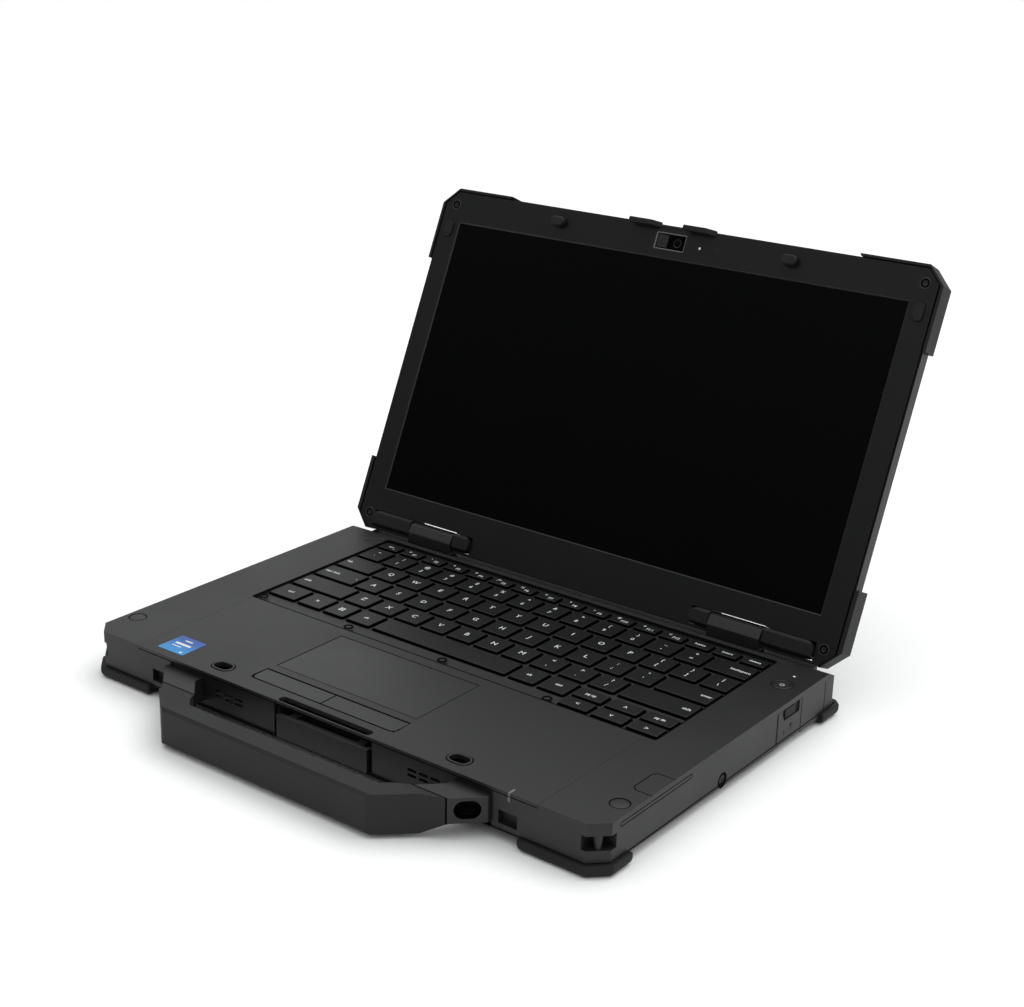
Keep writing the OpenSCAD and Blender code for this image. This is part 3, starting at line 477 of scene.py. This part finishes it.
def turned(profile, steps=40):
    """A solid of revolution about z from (radius, height) points; it is closed at its axis."""
    bm = bmesh.new()
    rings = []
    for r, z in profile:
        if r < 1e-6:
            rings.append([bm.verts.new((0, 0, z))])
        else:
            rings.append([bm.verts.new((r * math.cos(a), r * math.sin(a), z))
                          for a in (math.tau * i / steps for i in range(steps))])
    for low, high in zip(rings, rings[1:]):
        for i in range(steps):
            j = (i + 1) % steps
            corners = [low[i % len(low)], low[j % len(low)], high[j % len(high)],
                       high[i % len(high)]]
            bm.faces.new(list(dict.fromkeys(corners)))
    return bm


def swept_ring(section, path, bm=None):
    """A closed bead: section points (out, up) carried round a closed plan path."""
    bm = bm or bmesh.new()
    count = len(path)
    rings = []
    for i, (x, y) in enumerate(path):
        ahead = Vector(path[(i + 1) % count]) - Vector(path[i - 1])
        side = Vector((ahead.y, -ahead.x)).normalized()
        rings.append([bm.verts.new((x + side.x * out, y + side.y * out, up))
                      for out, up in section])
    size = len(section)
    for i in range(count):
        here, there = rings[i], rings[(i + 1) % count]
        for k in range(size):
            m = (k + 1) % size
            bm.faces.new((here[k], here[m], there[m], there[k]))
    return bm


def round_ring(profile, steps):
    """A closed ring round z from (radius, height) points."""
    core = 0.01
    return swept_ring([(r - core, z) for r, z in profile], circle(core, steps))


def bar(start, end, section):
    """A straight bar from start to end; section points are (across, up)."""
    bm = bmesh.new()
    start, end = Vector(start), Vector(end)
    ahead = (end - start).normalized()
    across = Vector((0, 0, 1)).cross(ahead).normalized()
    rings = [[bm.verts.new(p + across * a + Vector((0, 0, up))) for a, up in section]
             for p in (start, end)]
    size = len(section)
    for k in range(size):
        m = (k + 1) % size
        bm.faces.new((rings[0][k], rings[0][m], rings[1][m], rings[1][k]))
    bm.faces.new(list(reversed(rings[0])))
    bm.faces.new(rings[1])
    return bm


# ---------- keyboard ----------

CAP_TOP = -0.3
DISH = 0.09  # how hollow a cap's top is
CAP_FACE = CAP_TOP - DISH
LETTER_TOP = CAP_FACE + 0.02


def cap_boxes(node):
    """The caps of a key node as (x, y, width, depth) in the base's drawing, back to front."""
    bm = merged(node)
    bm.transform(BASE.inverted())
    tops = [f for f in bm.faces if f.normal.z > 0.9 and f.calc_center_median().z > -1]
    boxes = []
    for face in tops:
        xs = [v.co.x for v in face.verts]
        ys = [v.co.y for v in face.verts]
        boxes.append(((min(xs) + max(xs)) / 2, (min(ys) + max(ys)) / 2,
                      max(xs) - min(xs), max(ys) - min(ys)))
    bm.free()
    return sorted(boxes, key=lambda b: (-round(b[1]), b[0]))


def dished_caps(node):
    """Key caps with a rounded rim and a slightly hollow top."""
    bm = merged(node)
    tops = [f for f in bm.faces if f.normal.z > 0.9]
    round_edges(bm, list({e for f in tops for e in f.edges}), 0.8 * MM, 4)
    tops = [f for f in bm.faces if f.normal.z > 0.999 and f.calc_area() > 20 * MM * MM]
    bmesh.ops.inset_individual(bm, faces=tops, thickness=0.3 * MM, depth=0)
    for vert in {v for f in tops for v in f.verts}:
        vert.co.z -= DISH * MM
    stand_for(node, bm, "_caps")


def lettering(bm, text, x, y, height, turn=0.0):
    """Adds flat raised characters on a cap, centred on x and y."""
    curve = bpy.data.curves.new("glyph", "FONT")
    curve.body = text
    curve.size = height * 1.38
    curve.align_x = "CENTER"
    curve.align_y = "CENTER"
    curve.extrude = 0.015
    curve.offset = 0.05
    curve.resolution_u = 2
    holder = bpy.data.objects.new("glyph", curve)
    mesh = bpy.data.meshes.new_from_object(holder)
    mesh.transform(Matrix.Translation((x, y, LETTER_TOP)) @ Matrix.Rotation(turn, 4, "Z"))
    bm.from_mesh(mesh)
    bpy.data.objects.remove(holder)
    bpy.data.curves.remove(curve)
    bpy.data.meshes.remove(mesh)


def legends(node, draw):
    """White lettering on the caps of one node; draw puts one cap's characters."""
    bm = bmesh.new()
    for index, box in enumerate(cap_boxes(node)):
        draw(bm, index, box)
    add_piece(node + "_legends", bm, BASE, BODY_OF[node], "light_bar")


def centred(bm, text, box, height=3.6):
    lettering(bm, text, box[0], box[1], height)


def two_level(bm, upper, lower, box, height=2.9):
    for text, shift in ((upper, 3.3), (lower, -3.1)):
        lettering(bm, text, box[0], box[1] + shift, height)


def wide(bm, text, box, to_left, height=2.2):
    """A word near the left or right end of a wide cap."""
    room = box[2] / 2 - 2.2 - 0.52 * height * len(text) / 2
    lettering(bm, text, box[0] - room if to_left else box[0] + room, box[1], height)


def function_legend(bm, index, box):
    """A key's name, with a plain sign above it on the keys that have one."""
    names = ["esc"] + ["F%d" % n for n in range(1, 13)] + ["home", "insert", "delete"]
    signs = ["", "x", "-", "+", "o", "|<", ">|", "=", "*", "::", "#", "o", "o", "", "", ""]
    text, sign = names[index], signs[index]
    if sign:
        lettering(bm, sign, box[0] - 2.6, box[1] + 1.3, 2.3)
        lettering(bm, text, box[0] + 2.2, box[1] - 1.4, 2.3)
    else:
        centred(bm, text, box, 2.1)
    if text == "esc":
        lettering(bm, "o", box[0] + 3.2, box[1] - 1.8, 1.4)


def number_legend(bm, index, box):
    if index == 13:
        wide(bm, "backspace", box, False)
    else:
        two_level(bm, "~!@#$%^&*()_+"[index], "`1234567890-="[index], box)


def upper_legend(bm, index, box):
    if index == 0:
        wide(bm, "tab", box, True)
    elif index < 11:
        centred(bm, "QWERTYUIOP"[index - 1], box)
    else:
        two_level(bm, "{}|"[index - 11], "[]\\"[index - 11], box)


def home_legend(bm, index, box):
    if index == 0:
        wide(bm, "caps lock", box, True)
        lettering(bm, ".", box[0] + box[2] / 2 - 2.4, box[1] + 1, 4)
    elif index < 10:
        centred(bm, "ASDFGHJKL"[index - 1], box)
    elif index < 12:
        two_level(bm, ":\""[index - 10], ";'"[index - 10], box)
    else:
        wide(bm, "enter", box, False)


def lower_legend(bm, index, box):
    if index in (0, 11):
        wide(bm, "shift", box, index == 0)
    elif index < 8:
        centred(bm, "ZXCVBNM"[index - 1], box)
    else:
        two_level(bm, "<>?"[index - 8], ",./"[index - 8], box)


def modifier_legend(bm, index, box):
    """The words of the lowest row, and four small squares on the system's key."""
    if index == 2:
        half = 0.8
        for x in (box[0] - 1, box[0] + 1):
            for y in (box[1] - 1, box[1] + 1):
                outline = rounded_rect(x - half, y - half, x + half, y + half, 0.7)
                slab(bm, outline, CAP_FACE, CAP_FACE + 0.03)
    else:
        centred(bm, ("ctrl", "fn", "", "alt", "alt", "ctrl")[index], box, 2.2)


def arrow_legend(bm, index, box):
    words = {0: "pg up", 2: "pg dn"}
    turns = {1: -math.pi / 2, 3: 0.0, 4: math.pi / 2, 5: math.pi}
    if index in words:
        centred(bm, words[index], box, 2.1)
    else:
        lettering(bm, "<", box[0], box[1], 3, turns[index])


def build_key_well_shadows(nodes):
    """A painted shadow: a flat dark ring on the deck round every cap, standing for the caps' shade."""
    bm = bmesh.new()
    deck = -1.77
    mouth = [(0.1, deck - 0.23), (0.1, deck), (0.85, deck), (0.85, deck - 0.23)]
    for node in nodes:
        for x, y, width, depth in cap_boxes(node):
            half, reach = width / 2, depth / 2
            outline = rounded_rect(x - half, y - reach, x + half, y + reach, 1.2, 3)
            swept_ring(mouth, outline, bm)
    add_dark("key_well_shadows", bm, BASE)


def build_keyboard():
    """Caps, their lettering and a painted shadow round the wells they stand in."""
    legend_of = {
        "function_keys": function_legend, "number_keys": number_legend,
        "upper_letter_keys": upper_legend, "home_letter_keys": home_legend,
        "lower_letter_keys": lower_legend, "modifier_keys": modifier_legend,
        "arrow_keys": arrow_legend,
    }
    for node, draw in legend_of.items():
        dished_caps(node)
        legends(node, draw)
    dished_caps("space_bar")
    build_key_well_shadows([*legend_of, "space_bar"])


# ---------- base ----------

def build_moulded_base():
    """The base's moulded pieces with rounded edges."""
    softened("handle_grip", 1.3, 4)
    for side, _ in SIDES:
        softened("rear_corner_" + side, 1.8, 3)
        softened("side_door_" + side, 0.2, 2)
        softened("click_button_" + side, 0.4)
    softened("feet_front", 0.9, 4, 18)
    softened("feet_rear", 0.9, 4, 18)
    softened("latch_flap", 0.5)


def bead(width, proud=0.03):
    """Section of a flat bead that fills a gap, as (across, up) points."""
    half, deep, shoulder = width / 2, -0.3, proud * 0.6
    return [(-half, deep), (half, deep), (half, shoulder), (0, proud), (-half, shoulder)]


def seam(name, path, width, place, body="base", proud=0.03):
    """A flat dark bead along a closed path, flush with the surface round it."""
    add_dark(name, swept_ring(bead(width, proud), path), place, body)


def straight_seam(name, start, end, width):
    add_dark(name, bar(start, end, bead(width)), BASE)


def build_deck_seams():
    """Dark lines round the touchpad, the buttons, the keyboard and the deck's screws."""
    x0, y0, _, y1 = plan_box("click_button_left")
    x1 = plan_box("click_button_right")[2]
    cut, out = 2.0, 0.2
    outline = [(x1 + out, y0 + cut), (x1 + out, y1 + out), (x0 - out, y1 + out),
               (x0 - out, y0 + cut), (x0 + cut, y0 - out), (x1 - cut, y0 - out)]
    seam("click_seam", outline, 1.0, BASE)
    split = plan_box("click_button_left")[2] + 0.15
    straight_seam("click_split", (split, y0, -0.02), (split, y1, -0.02), 0.5)
    x0, y0, x1, y1 = plan_box("touchpad")
    seam("touchpad_seam", rounded_rect(x0, y0, x1, y1, 0.4, 2), 0.42, BASE)
    seam("keyboard_seam", rounded_rect(-136, 87.5, 141, 206.4, 1.5, 3), 0.85, BASE)
    for index, (low, high) in enumerate(islands("deck_screws")):
        mid = (low + high) / 2
        place = BASE @ Matrix.Translation((mid.x, mid.y, 0))
        r = (high.x - low.x) / 2
        seam("deck_screw_seam_%d" % (index + 1), circle(r + 0.35), 1.1, place)


def side_wall(sign, x):
    """Drawing of an upright face x from the middle: along the depth, up, and outward."""
    upright = Matrix(((0, 0, 1, x), (1, 0, 0, 0), (0, 1, 0, 0), (0, 0, 0, 1)))
    return BASE @ Matrix.Diagonal((sign, 1, 1, 1)) @ upright


def build_wall_seams():
    """Dark lines round the pen bay cover, the doors' ends and the side screws."""
    seam("pen_cover_seam", rounded_rect(15, -5, 75, -3, 0.9, 3), 0.55, side_wall(1, HALF_WIDTH))
    tab = [(170, 40), (161, 40), (158.6, 42.4), (158.6, 57.6), (161, 60), (170, 60)]
    for index, (start, end) in enumerate(zip(tab, tab[1:])):
        straight_seam("pen_tab_seam_%d" % (index + 1), (*start, 0), (*end, 0), 0.6)
    rear_corner, clear = 207.5, 0.35
    for side, sign, hinge, end in DOORS:
        wall = side_wall(sign, HALF_WIDTH)
        for index, y in enumerate((hinge - clear, end, rear_corner)):
            bm = bmesh.new()
            slab(bm, rounded_rect(y - 0.3, SEAM + 0.4, y + 0.3, -3.2, 0.1, 1), -0.3, 0.03)
            add_dark("side_seam_%s_%d" % (side, index + 1), bm, wall)
        seam("side_screw_seam_" + side, circle(3.5), 1.5,
             wall @ Matrix.Translation((104, -18.7, 0)))


def build_handle_seams():
    """The joints between the grip and its mounts."""
    for side, sign in SIDES:
        inner, outer = (73.4, 94.3) if sign > 0 else (-97, -73.4)
        low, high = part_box("handle_mount_" + side)
        top = (high.z - palm_high.z) / MM
        base = (low.z - palm_high.z) / MM
        proud = 0.12
        bm = bmesh.new()
        outline = [(inner - proud, base), (outer + proud, base), (outer + proud, top + proud),
                   (inner - proud, top + proud)]
        slab(bm, outline, -0.35, 0.35)
        across_mount = Matrix(((1, 0, 0, 0), (0, 0, -1, -16), (0, 1, 0, 0), (0, 0, 0, 1)))
        add_dark("handle_seam_" + side, bm, BASE @ across_mount)


def cut_out(piece, tool):
    """Cuts the tool's mesh from a piece's, before the face normals are weighted."""
    cutter = bpy.data.objects.new("cutter", tool)
    bpy.context.scene.collection.objects.link(cutter)
    cut = piece.modifiers.new("cut", "BOOLEAN")
    cut.object, cut.operation, cut.solver = cutter, "DIFFERENCE", "EXACT"
    cut.material_mode = "TRANSFER"
    piece.modifiers.move(len(piece.modifiers) - 1, 0)
    weighted = piece.modifiers["flat_faces"]
    weighted.show_viewport = False
    bpy.context.view_layer.update()
    evaluated = piece.evaluated_get(bpy.context.evaluated_depsgraph_get())
    mesh = bpy.data.meshes.new_from_object(evaluated)
    old = piece.data
    piece.modifiers.remove(cut)
    piece.data = mesh
    weighted.show_viewport = True
    bpy.data.meshes.remove(old)
    bpy.data.objects.remove(cutter)
    bpy.data.meshes.remove(tool)


def build_mounts():
    """The handle's mounts, with the oval mouths of their screw wells, whose walls are painted black as painted
    shade.
    """
    for side, sign, well in (("right", 1, 101.2), ("left", -1, 103.9)):
        piece = softened("handle_mount_" + side, 0.7)
        bm = bmesh.new()
        slab(bm, obround(13, 9.4), -4, 6)
        out = Vector((sign, -1, 0)).normalized()
        across = Vector((0, 0, 1)).cross(out)
        turn = Matrix((across, (0, 0, 1), out)).transposed().to_4x4()
        bm.transform(BASE @ Matrix.Translation((well * sign, -9.2, -11)) @ turn)
        bmesh.ops.recalc_face_normals(bm, faces=bm.faces)
        mesh = bpy.data.meshes.new("cutter")
        bm.to_mesh(mesh)
        bm.free()
        # painted shade: the walls cut for the wells take the seam black
        mesh.materials.append(SEAM_AND_SHADE_BLACK)
        cut_out(piece, mesh)


def build_towers():
    """Hinge towers, a little taller, so that only a slit is left under the lid."""
    taller = 1.3 * MM
    for side, _ in SIDES:
        node = "hinge_tower_" + side
        bm = merged(node)
        top = max(v.co.z for v in bm.verts)
        for vert in bm.verts:
            if vert.co.z > top - 0.1 * MM:
                vert.co.z += taller
        round_edges(bm, sharp_edges(bm, 26), 0.6 * MM, 3)
        stand_for(node, bm, "_moulded")


def build_gaskets():
    """Dark beads that close the seams under the palm rest's lip and round the bottom cover."""
    lip = [(0.2, -0.25), (0.2, 0.25), (-0.08, 0.2), (-0.08, -0.2)]
    add_dark("palm_gasket", bar((-134.3, 0, -1.85), (134.3, 0, -1.85), lip), BASE)
    half, cut = HALF_WIDTH, 8.3
    path = [(half - cut, 0), (half, cut), (half, DEPTH), (-half, DEPTH), (-half, cut),
            (cut - half, 0)]
    section = [(-0.3, -0.4), (0.05, -0.36), (0.05, 0.36), (-0.3, 0.4)]
    add_dark("seam_gasket", swept_ring([(out, up + SEAM) for out, up in section], path), BASE)


def build_peg_sockets():
    """Rims and dark grooves of the deck's two sockets for the lid's closing pegs."""
    mouth = obround(11, 7)
    ring = [(0.06, -0.6), (0.06, 0.2), (0.3, 0.42), (0.9, 0.42), (1.15, 0.2), (1.15, -0.1)]
    groove = [(1.15, -0.1), (1.15, 0.035), (1.75, 0.035), (1.75, -0.1)]
    for side, sign in SIDES:
        place = BASE @ Matrix.Translation((80 * sign, 11, 0))
        add_piece("peg_socket_ring_" + side, swept_ring(ring, mouth), place, "base", "touch")
        add_dark("peg_socket_gasket_" + side, swept_ring(groove, mouth), place)


def build_corner_pads():
    """Low round pads that keep the closed lid off the deck."""
    dome = [(0, -0.38), (4.7, -0.38), (4.7, -0.25), (4.2, 0.0), (2.5, 0.14), (0, 0.18)]
    for side, sign in SIDES:
        place = BASE @ Matrix.Translation((162.5 * sign, 25, 0))
        add_piece("deck_pad_" + side, turned(dome), place, "base", "shell")
        seam("deck_pad_seam_" + side, circle(4.9), 0.35, place)


def build_label():
    """A plain blue sticker with generic white stripes."""
    outline = rounded_rect(-125, 5.8, -106, 24, 0.8)
    add_piece("deck_label", plate(outline, 0, 0.12, 0.05), BASE, "base", "touch",
              material=label_material("look_label"))
    bm = bmesh.new()
    stripes = ((-118.5, -113, 20.2, 1.1), (-121.5, -110, 15.8, 1.9), (-121, -114, 12.6, 0.8),
               (-110.5, -108.5, 8.0, 1.3))
    for x0, x1, y, thick in stripes:
        slab(bm, rounded_rect(x0, y - thick / 2, x1, y + thick / 2, thick * 0.45), 0.1, 0.15)
    add_piece("deck_label_stripes", bm, BASE, "base", "light_bar")


def build_power_button():
    """Round button in a raised ring, with the standard on mark and a lamp behind it."""
    place = BASE @ Matrix.Translation((157.2, 183, 0))
    cap = [(0, -1.8), (4.42, -1.8), (4.42, -0.25), (4.2, -0.05), (3.6, 0.05), (2.2, -0.12),
           (0, -0.16)]
    add_piece("power_button_cap", turned(cap), place, "power_button", "shell",
              replaced=("power_button",))
    ring = [(4.85, -0.3), (4.85, 0.05), (5.05, 0.22), (5.45, 0.22), (5.7, 0.02), (5.7, -0.3)]
    add_piece("power_button_ring", round_ring(ring, 40), place, "base", "shell")
    bm = bmesh.new()
    for i in range(11):
        a, b = (math.radians(120 + 300 * k / 11) for k in (i, i + 1))
        outline = [(math.cos(t) * r, math.sin(t) * r) for t, r in
                   ((a, 1.0), (b, 1.0), (b, 1.35), (a, 1.35))]
        slab(bm, outline, -0.16, -0.1)
    slab(bm, rounded_rect(-0.16, 0.5, 0.16, 1.7, 0.1, 2), -0.16, -0.1)
    add_piece("power_button_mark", bm, place, "power_button", "light_bar")
    seam("power_button_seam", circle(6.0), 0.5, place)
    lamp = [(0, -0.55), (0.85, -0.55), (0.85, -0.1), (0.6, 0.06), (0, 0.1)]
    add_piece("power_lamp", turned(lamp, 20), BASE @ Matrix.Translation((157.2, 196, 0)), "base",
              "light_bar")


def build_rear_ridges():
    """Low ribs across the deck between the keyboard and the lid."""
    section = [(-0.45, 0), (-0.25, 0.2), (0.25, 0.2), (0.45, 0)]
    for index, y in enumerate((207.7, 209.9)):
        add_piece("rear_rib_%d" % (index + 1), bar((-146, y, -0.02), (150, y, -0.02), section),
                  BASE, "base", "shell")
    step = [(-0.35, 0), (-0.2, 0.3), (0.2, 0.3), (0.35, 0)]
    add_piece("rear_step_rib", bar((-157, 212.6, -2.02), (157, 212.6, -2.02), step), BASE,
              "base", "shell")


def build_recess_wedge():
    """A low ramp at the keyboard recess's rear left corner."""
    bm = bmesh.new()
    slab(bm, [(-147, 196), (-137.5, 205.5), (-141, 207.2), (-148.5, 199)], -0.1, 0.55)
    edges = [e for e in bm.edges if all(v.co.z > 0 for v in e.verts)]
    round_edges(bm, edges, 0.4, 3)
    add_piece("recess_wedge", bm, BASE, "base", "touch")


def build_door_details():
    """A snap tab inside the door's finger notch and small plain marks under it."""
    notch_floor, door_face = 168.75, 169.985
    for side, sign, y0, y1 in DOORS:
        door = "side_door_" + side
        tab = plate(rounded_rect(y0 + 8.5, -9, y1 - 6, -4.2, 0.6), 0, 0.75, 0.25)
        add_piece("side_door_tab_" + side, tab, side_wall(sign, notch_floor), door,
                  "foot_rubber")
        marks = bmesh.new()
        for y, z, w, h in ((y0 + 14.5, -14.2, 1.6, 0.5), (y0 + 14.5, -15.4, 0.5, 1.8),
                           (y0 + 7.4, -16.6, 0.4, 1.6)):
            slab(marks, rounded_rect(y - w, z - h, y + w, z + h, 0.2, 2), 0, 0.04)
        add_piece("side_door_mark_" + side, marks, side_wall(sign, door_face), door,
                  "foot_rubber")


# ---------- lid ----------

def build_moulded_lid():
    """The lid's moulded pieces with rounded edges."""
    for side, _ in SIDES:
        softened("hinge_cover_" + side, 0.9)
    softened("bumpers_top", 0.9)
    softened("bumpers_bottom", 0.9)
    softened("closing_pegs", 1.1, 4)
    softened("latch_hooks", 0.5)
    softened("camera_shutter", 0.12, 2)


def build_display_trim():
    """The bezel's sloping inner edge round the display."""
    half, high = 155.15, 175.1  # the display's half width and its height
    path = [(half, 0), (half, high), (-half, high), (-half, 0)]
    section = [(-0.55, -0.65), (0.0, 0.04), (0.2, 0.04), (0.2, -0.65)]
    bm = bmesh.new()
    rings = []
    for x, v in path:
        out = Vector((1 if x > 0 else -1, 1 if v > 0 else -1))
        rings.append([bm.verts.new((x + out.x * a, v + out.y * a, up)) for a, up in section])
    for i in range(4):
        here, there = rings[i], rings[(i + 1) % 4]
        for k in range(4):
            m = (k + 1) % 4
            bm.faces.new((here[k], here[m], there[m], there[k]))
    add_piece("display_trim", bm, LID, "lid", "touch")


def build_bezel_pads():
    """Rubber pads near the bezel's top corners that meet the deck when the lid is shut."""
    for side, sign in SIDES:
        x = 162 * sign
        outline = rounded_rect(x - 3, 165, x + 3, 175.5, 2.6)
        add_piece("bezel_pad_" + side, plate(outline, -0.2, 0.75, 0.35, 3), LID, "lid",
                  "bumper_plastic")
        seam("bezel_pad_seam_" + side, outline, 0.6, LID, "lid")


def build_screw_rings():
    """Raised rims round the bezel's screws."""
    rim = [(2.6, -0.3), (2.6, 0.05), (2.75, 0.16), (3.0, 0.16), (3.2, 0.02), (3.2, -0.3)]
    for side, sign in SIDES:
        for level, x, v in (("upper", 161.2, 186), ("lower", 162, -17)):
            place = LID @ Matrix.Translation((x * sign, v, 0))
            name = "_%s_%s" % (level, side)
            add_piece("screw_rim" + name, round_ring(rim, 32), place, "lid", "touch")
            seam("screw_seam" + name, circle(2.1), 0.9, place, "lid", 0.1)


def build_camera_details():
    """Lens, window frame, lamp and microphone of the camera."""
    lens = [(0, 0.25), (1.5, 0.2), (1.9, 0.05), (1.9, -0.6), (0, -0.6)]
    add_piece("camera_lens", turned(lens, 28), LID @ Matrix.Translation((4, 185, -1.8)), "lid",
              "camera_plastic", material=screen_material("look_lens"))
    rim = [(2.0, -0.3), (2.0, 0.2), (2.2, 0.32), (2.6, 0.32), (2.8, 0.1), (2.8, -0.3)]
    add_piece("camera_lens_rim", round_ring(rim, 28), LID @ Matrix.Translation((4, 185, -2)),
              "lid", "camera_plastic")
    window = rounded_rect(-10, 180.3, 10, 189.8, 0.4, 2)
    edge = [(-0.35, -0.5), (0.0, 0.05), (0.3, 0.05), (0.3, -0.5)]
    # painted highlight: the window frame is light grey, standing for the bright rim the light picks out
    add_piece("camera_frame", swept_ring(edge, window), LID, "lid", "touch", material=STATUS_GREY_AND_RIM_HIGHLIGHT)
    lamp = [(0, -0.3), (0.75, -0.3), (0.75, 0.02), (0.5, 0.12), (0, 0.16)]
    add_piece("camera_lamp", turned(lamp, 20), LID @ Matrix.Translation((20.5, 184, 0)), "lid",
              "light_bar")
    hole = [(0, 0.03), (0.5, 0.03), (0.6, -0.2), (0, -0.2)]
    add_piece("microphone", turned(hole, 16), LID @ Matrix.Translation((31.8, 185.5, 0)), "lid",
              "camera_plastic")


add_camera()
add_studio()
dress_cad_nodes()
build_keyboard()
build_moulded_base()
build_mounts()
build_towers()
build_deck_seams()
build_wall_seams()
build_handle_seams()
build_gaskets()
build_peg_sockets()
build_corner_pads()
build_label()
build_power_button()
build_rear_ridges()
build_recess_wedge()
build_door_details()
build_moulded_lid()
build_display_trim()
build_bezel_pads()
build_screw_rings()
build_camera_details()

bpy.context.scene.view_settings.view_transform = "Standard"
